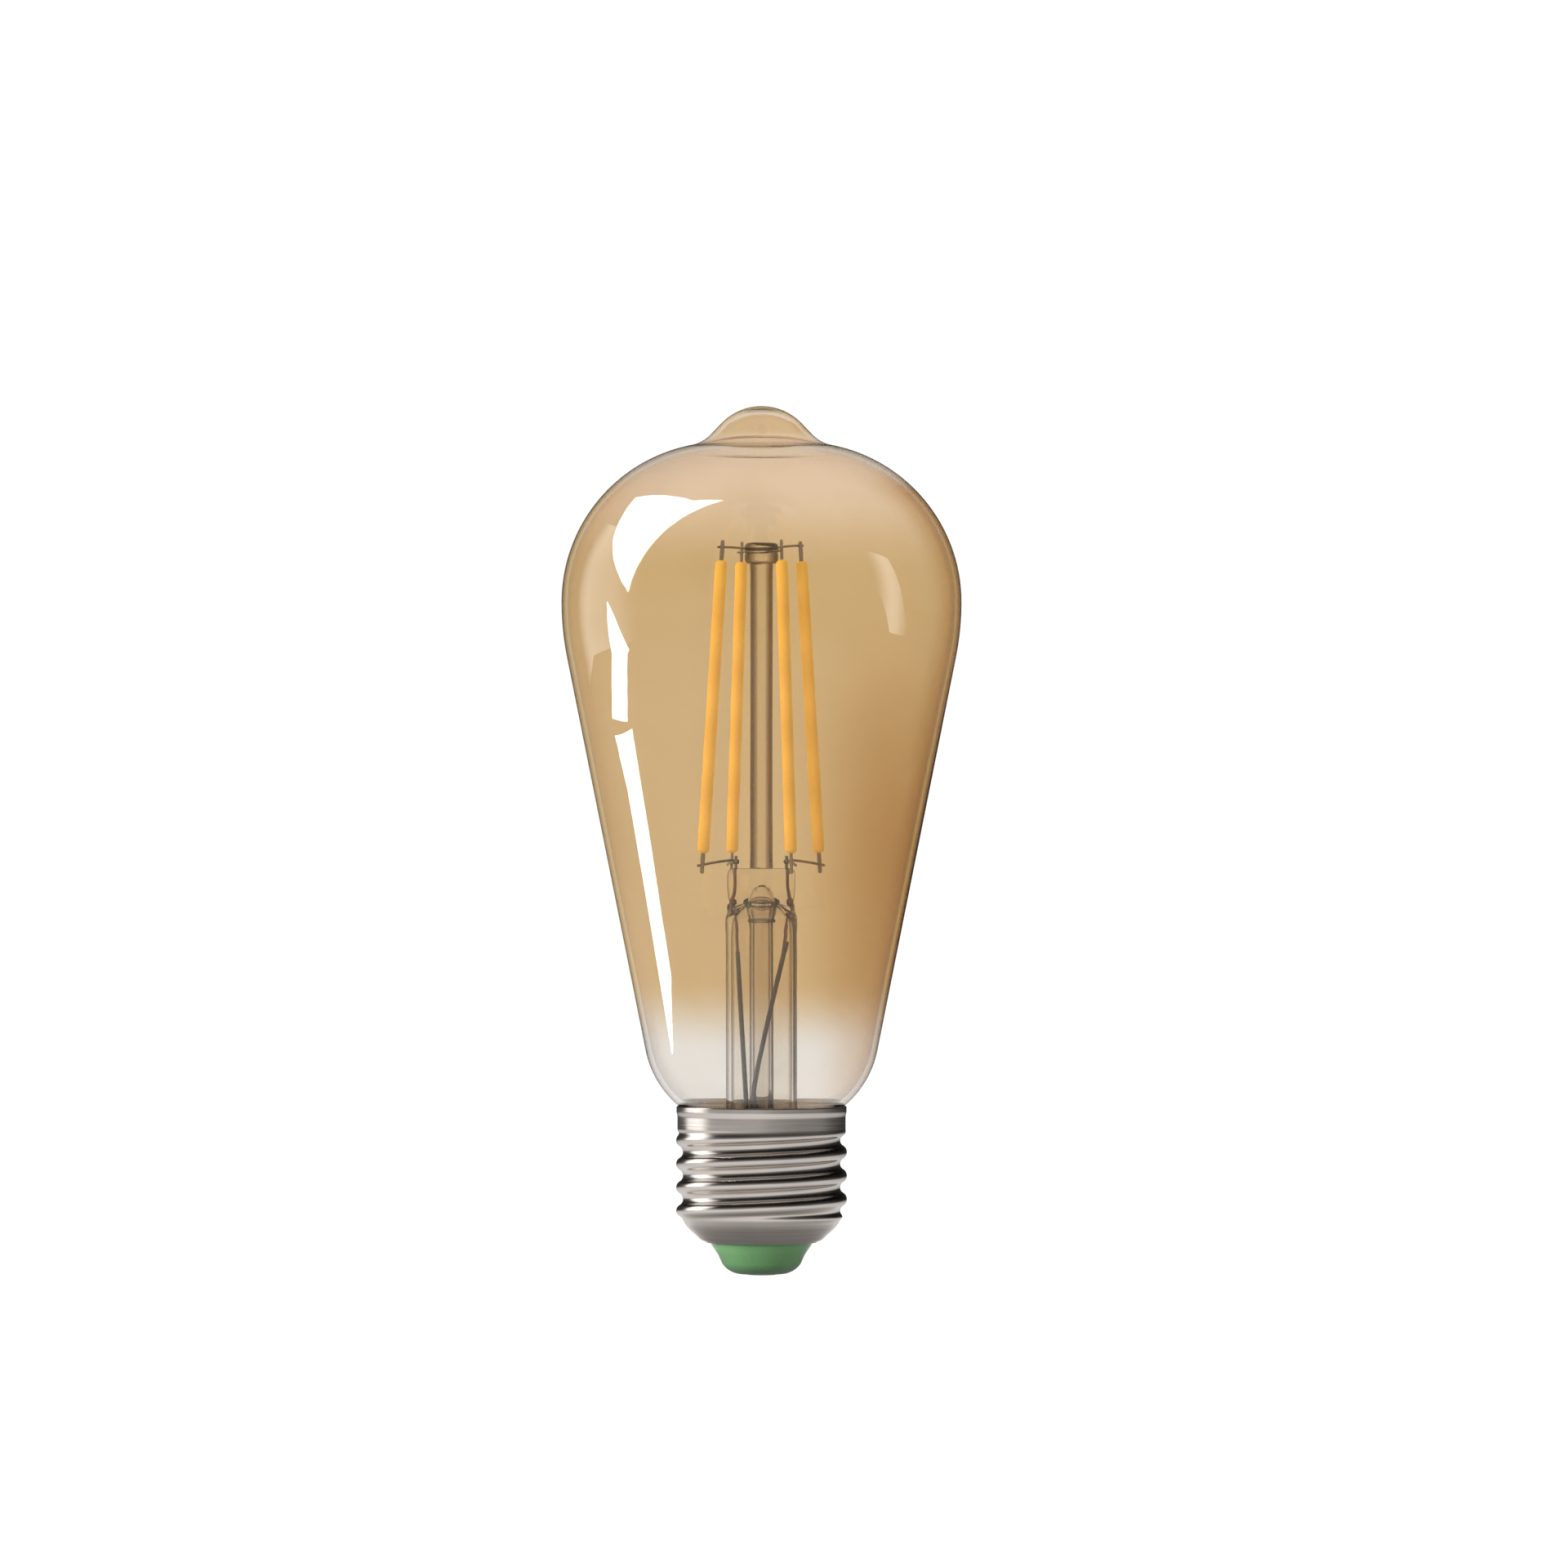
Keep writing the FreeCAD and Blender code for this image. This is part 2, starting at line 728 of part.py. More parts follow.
def shell_radius(turn, height):
    """Outer radius of the formed shell at a share of a turn from +X and a height."""
    pitch = float(cell("thread_pitch"))
    phase = (height - float(cell("thread_crest_height"))) / pitch - turn
    from_crest = abs(phase - round(phase)) * pitch
    lip = float(cell("lip_radius")) + float(cell("lip_widening")) * (
        height - float(cell("lip_height"))
    )
    cone = float(cell("cone_base_radius")) + float(cell("cone_widening")) * (
        height - float(cell("cone_base_height"))
    )
    base = float(cell("thread_base_height"))
    low = smooth_step(base, base + float(cell("thread_base_run")), height)
    top = float(cell("thread_top_height"))
    high = smooth_step(top - float(cell("thread_top_run")), top, height)
    step = float(cell("rim_step_height"))
    flare = smooth_step(step, step + float(cell("rim_step_run")), height)
    skirt = float(cell("skirt_radius"))
    skirt += (float(cell("rim_radius")) - skirt) * flare
    bottom = soft_minimum(lip, cone, float(cell("lip_softness")))
    threaded = knuckle_radius(from_crest) * low + bottom * (1 - low)
    return threaded * (1 - high) + skirt * high


def shell_point(turn, height, inset):
    """A point of the shell, moved inwards along the meridian's normal by inset."""
    tiny = 0.01
    radius = shell_radius(turn, height)
    widening = (shell_radius(turn, height + tiny) - shell_radius(turn, height - tiny)) / (2 * tiny)
    length = math.hypot(1.0, widening)
    radius -= inset / length
    height += inset * widening / length
    angle = 2 * math.pi * turn
    return Vector(radius * math.cos(angle), radius * math.sin(angle), height)


def formed_face(inset):
    """One face of the formed shell, closed round the axis, from its lip up to its rim."""
    low, high = float(cell("lip_height")), float(cell("rim_height"))
    rows = 120
    columns = 48
    grid = []
    for column in range(columns + 1):
        turn = (column % columns) / columns
        heights = [low + (high - low) * row / rows for row in range(rows + 1)]
        grid.append([shell_point(turn, height, inset) for height in heights])
    surface = Part.BSplineSurface()
    surface.interpolate(grid)
    surface.setUPeriodic()
    return surface.toShape()


def end_edges(face):
    """The lower and the upper closed edge of a face that is closed round the axis."""
    rings = [edge for edge in face.Edges if edge.isClosed()]
    return sorted(rings, key=lambda edge: edge.CenterOfMass.z)


def screw_shell():
    """Thin formed shell with a right-hand knuckle thread that runs out at both of its ends."""
    outer, inner = formed_face(0.0), formed_face(float(cell("cap_wall")))
    rims = [Part.makeRuledSurface(*pair) for pair in zip(end_edges(outer), end_edges(inner))]
    shell = Part.makeShell([outer, inner, *rims])
    shell.sewShape(0.001)
    solid = Part.Solid(shell)
    if solid.Volume < 0:
        solid.reverse()
    shaped("screw_shell", solid)


def cap_cement():
    body = new_body("cap_cement")
    neck, low = neck_radius(), cell("cement_base_height")
    corners = envelope_corners(as_size(0))
    top = corners[1][1]
    outside = cell("cement_radius")
    ring = [(neck, low), (outside, low), (outside, top), (neck, top)]
    turned(body, outline(body, "cement_ring", "XZ_Plane", ring))


def insulator():
    """Moulding in the shell's lower end, held by the rolled lip, with the contact in its face."""
    body = new_body("insulator")
    top, flange = cell("insulator_top_height"), cell("insulator_flange_radius")
    wide, lip = cell("insulator_radius"), cell("lip_height")
    foot, foot_z = cell("insulator_foot_radius"), cell("insulator_foot_height")
    face, face_z = cell("insulator_face_radius"), cell("insulator_face_height")
    wall = cell("insulator_wall")
    corners = [
        (as_size(0), face_z),
        (face, face_z, foot, 1),
        (foot, foot_z),
        (wide, lip - cell("cap_wall")),
        (wide, lip + cell("cap_wall")),
        (flange, lip + wall / 2),
        (flange, top),
        (wide, top),
        (foot - wall / 2, foot_z + wall),
        (as_size(0), face_z + wall),
    ]
    turned(body, outline(body, "insulator_outline", "XZ_Plane", corners))
    depth, face_radius = cell("contact_depth"), cell("contact_radius")
    seat = [
        (as_size(0), as_size(0)),
        (face_radius, as_size(0)),
        (face_radius, depth),
        (cell("shank_radius"), depth),
        (cell("shank_radius"), face_z + wall * 2),
        (as_size(0), face_z + wall * 2),
    ]
    turned(body, outline(body, "contact_seat", "XZ_Plane", seat), "Groove")


def centre_contact():
    body = new_body("centre_contact")
    depth, face_radius = cell("contact_depth"), cell("contact_radius")
    edge, shank, top = cell("contact_edge"), cell("shank_radius"), cell("shank_height")
    rivet = [
        (as_size(0), as_size(0)),
        (face_radius - edge, as_size(0)),
        (face_radius, edge),
        (face_radius, depth),
        (shank, depth),
        (shank, top),
        (as_size(0), top),
    ]
    turned(body, outline(body, "rivet_outline", "XZ_Plane", rivet))


# ---- driver and radio ----


def block(label, size, position):
    """A box given by its sides and the middle of its lower face."""
    box = subpart(doc.addObject("Part::Box", label), label)
    for name, side in zip(("Length", "Width", "Height"), size):
        bind(box, name, side)
    corner = (position[0] - size[0] / 2, position[1] - size[1] / 2, position[2])
    return place(box, [as_size(value) for value in corner])


def lying_cylinder(label, radius, length, centre, turn):
    """A cylinder that lies level. turn is 0 along X and 90 along Y."""
    rod = subpart(doc.addObject("Part::Cylinder", label), label)
    bind(rod, "Radius", radius)
    bind(rod, "Height", length)
    angle = as_size(turn)
    start = (
        centre[0] - cosine(angle) * length / 2,
        centre[1] - sine(angle) * length / 2,
        centre[2],
    )
    return place(rod, start, turn=turn, lean=90)


def driver_board():
    board = subpart(doc.addObject("Part::Cylinder", "driver_board"), "driver_board")
    bind(board, "Radius", cell("board_radius"))
    bind(board, "Height", cell("board_depth"))
    place(board, (as_size(0), as_size(0), cell("board_height")))


def driver_sleeve():
    body = new_body("driver_sleeve")
    inside = cell("board_radius") + cell("fit_gap")
    outside = inside + cell("driver_sleeve_wall")
    low, high = cell("driver_sleeve_base_height"), cell("driver_sleeve_top_height")
    ring = [(inside, low), (outside, low), (outside, high), (inside, high)]
    turned(body, outline(body, "sleeve_ring", "XZ_Plane", ring))


CHOKE_PLACE = (-4.2, -3.6)
CAN_PLACE = (0.0, 4.2)
FUSE_PLACE = (6.4, -2.0)
VARISTOR_PLACE = (1.7, -5.4)
RECTIFIER_SIZE, RECTIFIER_PLACE, RECTIFIER_LEGS = (4.7, 2.6, 1.6), (-3.2, -6.4), 2
CHIP_SIZE, CHIP_PLACE, CHIP_LEGS = (4.9, 2.8, 1.5), (3.2, -6.4), 4
LEG_PITCH, LEG_REACH, LEG_WIDTH, LEG_DEPTH, CHIP_STAND_OFF = 1.27, 0.9, 0.4, 0.3, 0.1
RADIO_SIZE, RADIO_PLACE = (10.0, 7.0, 0.8), (0.0, 5.2)
SHIELD_SIZE, SHIELD_PLACE = (6.0, 5.2, 1.5), (-1.6, 5.0)
SMALL_CHIP_SIZE, SMALL_CHIP_HEIGHT = (1.6, 0.8), 0.5
SMALL_CHIP_OFFSET, SMALL_CHIP_START, SMALL_CHIP_COUNT, SMALL_CHIP_ROW = 8.6, -2.4, 4, 4.8


def choke():
    """Drum core with its winding between the two flanges."""
    high = cell("board_height") - cell("part_gap")
    low = high - cell("choke_length")
    wide, waist, flange = cell("choke_radius"), cell("choke_waist_radius"), cell("choke_flange")
    core = new_body("choke_core")
    drum = [
        (as_size(0), low),
        (wide, low),
        (wide, low + flange),
        (waist, low + flange),
        (waist, high - flange),
        (wide, high - flange),
        (wide, high),
        (as_size(0), high),
    ]
    turned(core, outline(core, "drum_outline", "XZ_Plane", drum))
    winding = new_body("choke_winding")
    coil = [
        (waist, low + flange),
        (wide - flange / 2, low + flange),
        (wide - flange / 2, high - flange),
        (waist, high - flange),
    ]
    turned(winding, outline(winding, "coil_outline", "XZ_Plane", coil))
    for body in (core, winding):
        place(body, (*CHOKE_PLACE, 0))


def chip(label, size, centre, legs):
    """A moulded chip with a row of legs on each long side, standing on the board."""
    base = cell("board_height") + cell("board_depth")
    width, depth, height = size
    body = new_body(label)
    sides = (width, depth)
    case = box_outline(body, label + "_case", "XY_Plane", sides, lift=CHIP_STAND_OFF)
    pad(body, case, as_size(height - CHIP_STAND_OFF))
    row_length = LEG_PITCH * (legs - 1)
    leg_size = (LEG_WIDTH, depth + 2 * LEG_REACH)
    outline_of_leg = box_outline(
        body, label + "_leg", "XY_Plane", leg_size, (-row_length / 2, 0)
    )
    leg = pad(body, outline_of_leg, as_size(LEG_DEPTH))
    row_of(body, [leg], "X_Axis", legs, as_size(row_length))
    place(body, (*centre, base))


def small_chips():
    """Chip resistors and capacitors in a row along each side of the board."""
    body = new_body("small_chips")
    base = cell("board_height") + cell("board_depth")
    pieces = []
    for side, sign in (("left", -1), ("right", 1)):
        centre = (sign * SMALL_CHIP_OFFSET, SMALL_CHIP_START)
        name = "small_chip_" + side
        first = box_outline(body, name, "XY_Plane", SMALL_CHIP_SIZE, centre, lift=base)
        pieces.append(pad(body, first, as_size(SMALL_CHIP_HEIGHT)))
    row_of(body, pieces, "Y_Axis", SMALL_CHIP_COUNT, as_size(SMALL_CHIP_ROW))


def driver_parts():
    top = cell("board_height") + cell("board_depth")
    under = cell("board_height") - cell("part_gap")
    chip("bridge_rectifier", RECTIFIER_SIZE, RECTIFIER_PLACE, RECTIFIER_LEGS)
    chip("driver_chip", CHIP_SIZE, CHIP_PLACE, CHIP_LEGS)
    block("radio_board", RADIO_SIZE, (*RADIO_PLACE, top))
    block("radio_shield", SHIELD_SIZE, (*SHIELD_PLACE, top + RADIO_SIZE[2]))
    can, can_length = cell("can_radius"), cell("can_length")
    lying_cylinder("electrolytic_capacitor", can, can_length, (*CAN_PLACE, under - can), 0)
    fuse, fuse_length = cell("fuse_radius"), cell("fuse_length")
    lying_cylinder("fusible_resistor", fuse, fuse_length, (*FUSE_PLACE, under - fuse), 90)
    disc, disc_depth = cell("varistor_radius"), cell("varistor_depth")
    lying_cylinder("surge_varistor", disc, disc_depth, (*VARISTOR_PLACE, under - disc), 90)


def supply_wires():
    """From the board's underside to the centre contact and to the inside of the shell."""
    board, radius = cell("board_height"), cell("supply_wire_radius")
    to_contact = [(0, 0, cell("shank_height")), (0, 0, 8.2), (0, -1.2, 9.6), (0, -1.2, board)]
    shaped("contact_wire", bent_rod(to_contact, 0.8, radius))
    to_shell = [(-8.6, 0, board), (-8.6, 0, 8.1), (-11.0, 0, 8.1)]
    shaped("shell_wire", bent_rod(to_shell, 0.8, radius))


def build():
    glass_bulb()
    stem_glass()
    exhaust_tube()
    arbor_rod()
    arbor_bead()
    top_wires()
    bottom_wires()
    press_leads()
    outer_leads()
    for number in range(1, 5):
        filament(number)
    screw_shell()
    cap_cement()
    insulator()
    centre_contact()
    driver_board()
    driver_sleeve()
    choke()
    driver_parts()
    small_chips()
    supply_wires()


def check():
    """Stops before anything is written if an object failed or a sub-part isn't sound."""
    for item in doc.Objects:
        if "Invalid" in item.State or "Error" in item.State:
            raise RuntimeError(f"{item.Label} failed: {item.State}")
    for item in subparts:
        if item.Shape.isNull() or not item.Shape.isValid() or not item.Shape.Solids:
            raise RuntimeError(f"{item.Label} has no sound shape")


def write():
    os.makedirs("parts", exist_ok=True)
    for item in subparts:
        item.Shape.exportStep(f"parts/{item.Label}.step")
        solids = len(item.Shape.Solids)
        print(f"{item.Label}: {solids} solid, {item.Shape.Volume:.2f} mm3")


build()
doc.recompute()
check()
write()
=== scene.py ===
import functools
import json
import math

import bmesh
import bpy
from mathutils import Matrix, Vector, noise


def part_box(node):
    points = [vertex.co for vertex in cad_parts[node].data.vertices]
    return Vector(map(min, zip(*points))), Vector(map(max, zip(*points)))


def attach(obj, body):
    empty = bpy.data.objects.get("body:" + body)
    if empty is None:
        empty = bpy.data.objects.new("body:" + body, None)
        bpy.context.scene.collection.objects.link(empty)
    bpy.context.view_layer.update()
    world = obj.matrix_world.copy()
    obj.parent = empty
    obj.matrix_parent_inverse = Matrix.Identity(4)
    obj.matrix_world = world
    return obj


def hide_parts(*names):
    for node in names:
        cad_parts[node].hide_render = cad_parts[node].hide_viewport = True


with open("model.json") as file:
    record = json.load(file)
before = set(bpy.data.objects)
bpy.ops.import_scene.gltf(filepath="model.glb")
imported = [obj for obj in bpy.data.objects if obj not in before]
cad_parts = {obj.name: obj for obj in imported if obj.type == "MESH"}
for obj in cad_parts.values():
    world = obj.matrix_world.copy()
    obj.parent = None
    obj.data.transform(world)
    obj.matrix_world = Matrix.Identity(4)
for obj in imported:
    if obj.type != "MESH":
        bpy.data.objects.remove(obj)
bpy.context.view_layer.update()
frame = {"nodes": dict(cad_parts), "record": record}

# A filament-style smart lamp, standing on its cap. Sizes here are in millimetres and degrees, in
# the CAD frame: +Z is up, the lamp's axis is Z, and the camera looks along +Y. The studio is in
# metres where it says so.

MM = 0.001


@functools.lru_cache
def span(node):
    """Lowest and highest corner of a CAD node, in millimetres."""
    return [Vector(corner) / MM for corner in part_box(node)]


def degrees(angle):
    """An angle given in degrees, in the radians that Python and Blender use."""
    return math.radians(angle)


def smooth_step(low, high, value):
    """0 to 1 as value goes smoothly from low to high."""
    share = min(max((value - low) / (high - low), 0.0), 1.0)
    return share * share * (3 - 2 * share)


def blend(first, second, share):
    """The value or place at a share of the way from first to second."""
    return first + (second - first) * share


# ---- mesh and curve helpers ----


def placed(data):
    """A new object in the scene, with its data's name."""
    made = bpy.data.objects.new(data.name, data)
    bpy.context.scene.collection.objects.link(made)
    return made


def finished(data, nodes, slot, paint=None, matrix=None):
    """Puts mesh or curve data in the scene as a piece that stands for CAD nodes, or for none. It
    gets its slot's paint unless another is named."""
    piece = placed(data)
    if matrix is not None:
        piece.matrix_world = matrix
    data.materials.append(PAINTS[paint or slot])
    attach(piece, "root")
    if nodes:
        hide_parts(*nodes)
    return piece


def smooth_mesh(name, points, faces, crease=35.0):
    """A mesh in metres from points in millimetres, smooth but for edges sharper than crease."""
    data = bpy.data.meshes.new(name)
    data.from_pydata([Vector(point) * MM for point in points], [], faces)
    data.validate()
    shape = bmesh.new()
    shape.from_mesh(data)
    bmesh.ops.remove_doubles(shape, verts=shape.verts, dist=1e-7)
    bmesh.ops.recalc_face_normals(shape, faces=shape.faces)
    shape.to_mesh(data)
    shape.free()
    data.shade_smooth()
    data.set_sharp_from_angle(angle=degrees(crease))
    return data


def skin(rings, closed):
    """Points and faces of a skin over equal rings. A closed skin's last ring meets its first, and
    an open one's end rings are filled."""
    count = len(rings[0])
    points = [point for ring in rings for point in ring]
    faces = []
    for row in range(len(rings) if closed else len(rings) - 1):
        low, high = row * count, (row + 1) % len(rings) * count
        for column in range(count):
            after = (column + 1) % count
            faces.append((low + column, low + after, high + after, high + column))
    if not closed:
        faces.append(tuple(reversed(range(count))))
        faces.append(tuple(range(len(points) - count, len(points))))
    return points, faces


def ring(radius, height, count, wobble=None):
    """A level ring of points. wobble may change the radius at each angle."""
    points = []
    for index in range(count):
        angle = 2 * math.pi * index / count
        reach = radius + (wobble(angle, height) if wobble else 0.0)
        points.append((reach * math.cos(angle), reach * math.sin(angle), height))
    return points


def rounded_section(half_width, half_depth, power, height, count=128):
    """A level ring between an ellipse, at power 2, and a rounded slab."""
    points = []
    for index in range(count):
        angle = 2 * math.pi * index / count
        across, along = math.cos(angle), math.sin(angle)
        size = (abs(across) ** power + abs(along) ** power) ** (1 / power)
        points.append((half_width * across / size, half_depth * along / size, height))
    return points


def lathe(name, profile, count=96, wobble=None, crease=35.0):
    """A closed profile of (radius, height) turned about Z."""
    rings = [ring(max(radius, 0.0), height, count, wobble) for radius, height in profile]
    points, faces = skin(rings, True)
    return smooth_mesh(name, points, faces, crease)


def arc(centre, radius, start, end, steps):
    """Points of an arc in a profile. radius may be a function of the share of the arc."""
    points = []
    for step in range(steps + 1):
        share = step / steps
        angle = degrees(blend(start, end, share))
        reach = radius(share) if callable(radius) else radius
        points.append((centre[0] + reach * math.cos(angle), centre[1] + reach * math.sin(angle)))
    return points


def drawn_wire(name, node, points, radius, slot):
    """A smooth round wire that follows its control points and stands for a CAD node."""
    data = bpy.data.curves.new(name, "CURVE")
    data.dimensions = "3D"
    data.bevel_depth = radius * MM
    data.bevel_resolution = 5
    data.resolution_u = 16
    data.use_fill_caps = True
    spline = data.splines.new("NURBS")
    spline.points.add(len(points) - 1)
    for control, point in zip(spline.points, points):
        control.co = (*(Vector(point) * MM), 1.0)
    spline.order_u = 3
    spline.use_endpoint_u = True
    finished(data, [node], slot)


def melted_bead(name, centre, size, seed, slot, paint=None):
    """A small uneven bead of melted metal or glass, on no CAD node. seed picks its bulges."""
    shape = bmesh.new()
    bmesh.ops.create_icosphere(shape, subdivisions=3, radius=1.0)
    points = []
    for vertex in shape.verts:
        lump = noise.noise(vertex.co * 1.6 + Vector((seed, seed * 0.7, 0.0)))
        bulge = 1.0 + 0.22 * lump
        points.append([middle + half * part * bulge
                       for middle, half, part in zip(centre, size, vertex.co)])
    faces = [[vertex.index for vertex in face.verts] for face in shape.faces]
    shape.free()
    finished(smooth_mesh(name, points, faces, 80.0), [], slot, paint)


# ---- shader node helpers ----

# A ray that has been through the mount's glass has passed more surfaces than this.
MOUNT_SURFACES = 5.5


class Nodes:
    """Short calls for the nodes of one shader tree."""

    def __init__(self, tree):
        self.tree = tree

    def node(self, kind, inputs=None, **settings):
        made = self.tree.nodes.new(kind)
        for name, value in settings.items():
            setattr(made, name, value)
        for name, value in (inputs or {}).items():
            self.feed(made.inputs[name], value)
        return made

    def feed(self, socket, value):
        if isinstance(value, bpy.types.NodeSocket):
            self.tree.links.new(value, socket)
        else:
            socket.default_value = value

    def ramp(self, value, *stops):
        """Colours or greys at places along value."""
        made = self.node("ShaderNodeValToRGB", {"Fac": value})
        elements = made.color_ramp.elements
        while len(elements) < len(stops):
            elements.new(1.0)
        for element, (position, tint) in zip(elements, stops):
            element.position = position
            element.color = (tint, tint, tint, 1) if isinstance(tint, float) else (*tint, 1)
        return made.outputs[0]

    def sums(self, operation, *values):
        """A node that does arithmetic on its values."""
        made = self.node("ShaderNodeMath", operation=operation)
        for socket, value in zip(made.inputs, values):
            self.feed(socket, value)
        return made.outputs[0]

    def between(self, value, low, high):
        """0 to 1 as value goes smoothly from low to high."""
        inputs = {"Value": value, "From Min": low, "From Max": high}
        made = self.node("ShaderNodeMapRange", inputs, interpolation_type="SMOOTHSTEP")
        return made.outputs[0]

    def seen_or_lit(self, output, seen, lit, mount):
        """Gives output one shader for what the camera sees, through glass or not, and one for
        light and reflections. mount is the second's share in reflections inside the mount."""
        rays = self.node("ShaderNodeLightPath").outputs
        inner = self.sums("GREATER_THAN", rays["Transmission Depth"], MOUNT_SURFACES)
        mirrored = self.sums("GREATER_THAN", rays["Glossy Depth"], 0.5)
        lost = self.sums("MULTIPLY", self.sums("MULTIPLY", inner, mirrored), mount)
        glass = self.sums("SUBTRACT", rays["Is Transmission Ray"], lost)
        direct = self.sums("MAXIMUM", rays["Is Camera Ray"], glass)
        mix = self.node("ShaderNodeMixShader", {0: direct, 1: lit, 2: seen})
        self.feed(output.inputs["Surface"], mix.outputs[0])


class Paint(Nodes):
    """A new material."""

    def __init__(self, name):
        self.material = bpy.data.materials.new(name)
        self.material.use_nodes = True
        super().__init__(self.material.node_tree)
        self.shader = self.tree.nodes["Principled BSDF"]
        self.output = self.tree.nodes["Material Output"]
        self.place = self.node("ShaderNodeTexCoord").outputs["Object"]

    def set(self, **values):
        """Sets the shader's sockets: base_color stands for Base Color."""
        for name, value in values.items():
            self.feed(self.shader.inputs[name.replace("_", " ").title()], value)

    def stretched(self, scale):
        """Object position with each axis scaled."""
        mapping = self.node("ShaderNodeMapping", {"Vector": self.place, "Scale": scale})
        return mapping.outputs[0]

    def grain(self, size, detail=3.0, stretch=(1, 1, 1)):
        """Noise with grains of a size in millimetres. Each axis may be stretched."""
        scale = [1 / (size * MM * part) for part in stretch]
        inputs = {"Vector": self.stretched(scale), "Scale": 1.0, "Detail": detail}
        return self.node("ShaderNodeTexNoise", inputs).outputs[0]

    def mixed(self, share, first, second, mode="MIX"):
        """Two colours mixed or, in another mode, the second laid over the first."""
        made = self.node("ShaderNodeMix", data_type="RGBA", blend_type=mode)
        self.feed(made.inputs[0], share)
        for socket, value in ((made.inputs[6], first), (made.inputs[7], second)):
            self.feed(socket, value if isinstance(value, bpy.types.NodeSocket) else (*value, 1))
        return made.outputs[2]

    def along(self, axis):
        """Object position along X, Y or Z, in millimetres."""
        parts = self.node("ShaderNodeSeparateXYZ", {"Vector": self.place})
        return self.sums("DIVIDE", parts.outputs[axis], MM)

    def facing(self):
        """0 where the surface faces the ray that meets it, rising to 1 at its outline."""
        return self.node("ShaderNodeLayerWeight", {"Blend": 0.5}).outputs["Facing"]

    def bump(self, height, depth, strength):
        """Dents the surface by height, 0 to 1, times a depth in millimetres."""
        inputs = {"Height": height, "Distance": depth * MM, "Strength": strength}
        made = self.node("ShaderNodeBump", inputs)
        self.feed(self.shader.inputs["Normal"], made.outputs[0])

    def glass(self, tint):
        """Polished glass, whose surfaces each take the square root of its tint. It is clear to
        shadow rays, so that light reaches what is inside it without caustic noise."""
        self.set(base_color=tint, transmission_weight=1.0, roughness=0.0)
        self.shader.inputs["IOR"].default_value = GLASS_IOR
        root = self.node("ShaderNodeGamma", {"Color": tint, "Gamma": 0.5})
        clear = self.node("ShaderNodeBsdfTransparent", {"Color": root.outputs[0]})
        shadow = self.node("ShaderNodeLightPath").outputs["Is Shadow Ray"]
        mix = self.node("ShaderNodeMixShader", {0: shadow, 1: self.shader.outputs[0]})
        self.feed(mix.inputs[2], clear.outputs[0])
        self.feed(self.output.inputs["Surface"], mix.outputs[0])


# ---- materials ----

GLASS_IOR = 1.5
WHOLE = (1.0, 1.0, 1.0)

# The coating's tint where it faces the ray, and at three steps to its outline, left and right.
# Darker towards the outline: partly the coating's longer path, partly painted shade.
# The right side is darker: painted shade.
AMBER = (0.775, 0.635, 0.43)
LEFT_TINTS = (0.82, 0.60, 0.35), (0.90, 0.52, 0.18), (0.25, 0.14, 0.05)
RIGHT_SHADE_TINTS = (0.60, 0.375, 0.14), (0.43, 0.17, 0.04), (0.16, 0.07, 0.02)
TINT_STEPS, TINT_SIDES = (0.74, 0.80, 0.97), (-6.0, 12.0)
# The coating is thinner towards the tip, but less so in the tip; the lower right is darker, painted
# shade.
THIN_AMBER, THIN_HEIGHTS, THIN_IN_TIP = (1.15, 1.21, 1.48), (108.0, 123.0), 0.4
RIGHT_SHADE_AMBER, RIGHT_SHADE_ASIDE, RIGHT_SHADE_HEIGHTS = (0.81, 0.69, 0.51), (3.0, 22.0), (112.0, 60.0)
# The join of tip and shoulder has a soft outline between these heights.
JOIN_LOW, JOIN_HIGH = (120.0, 124.5), (130.0, 128.5)
# The foot is clear below the height where the coating starts; its right is darker and warmer,
# painted shade.
FOOT_GLASS = (0.885, 0.86, 0.83)
# Painted shade: the foot darkens towards its outline.
FOOT_SIDE = (0.68, 0.61, 0.56)
FOOT_EDGE = (0.25, 0.21, 0.19)
RIGHT_FOOT_SHADE, RIGHT_FOOT_SHADE_ASIDE = (0.82, 0.70, 0.58), (7.0, 20.0)
AMBER_HEIGHTS, AMBER_WANDER = (34.0, 46.0), 3.0
# In reflections, as in the cap, the glass is darkened: a painted dark reflection.
PAINTED_DARK_REFLECTION = (0.06, 0.055, 0.05)


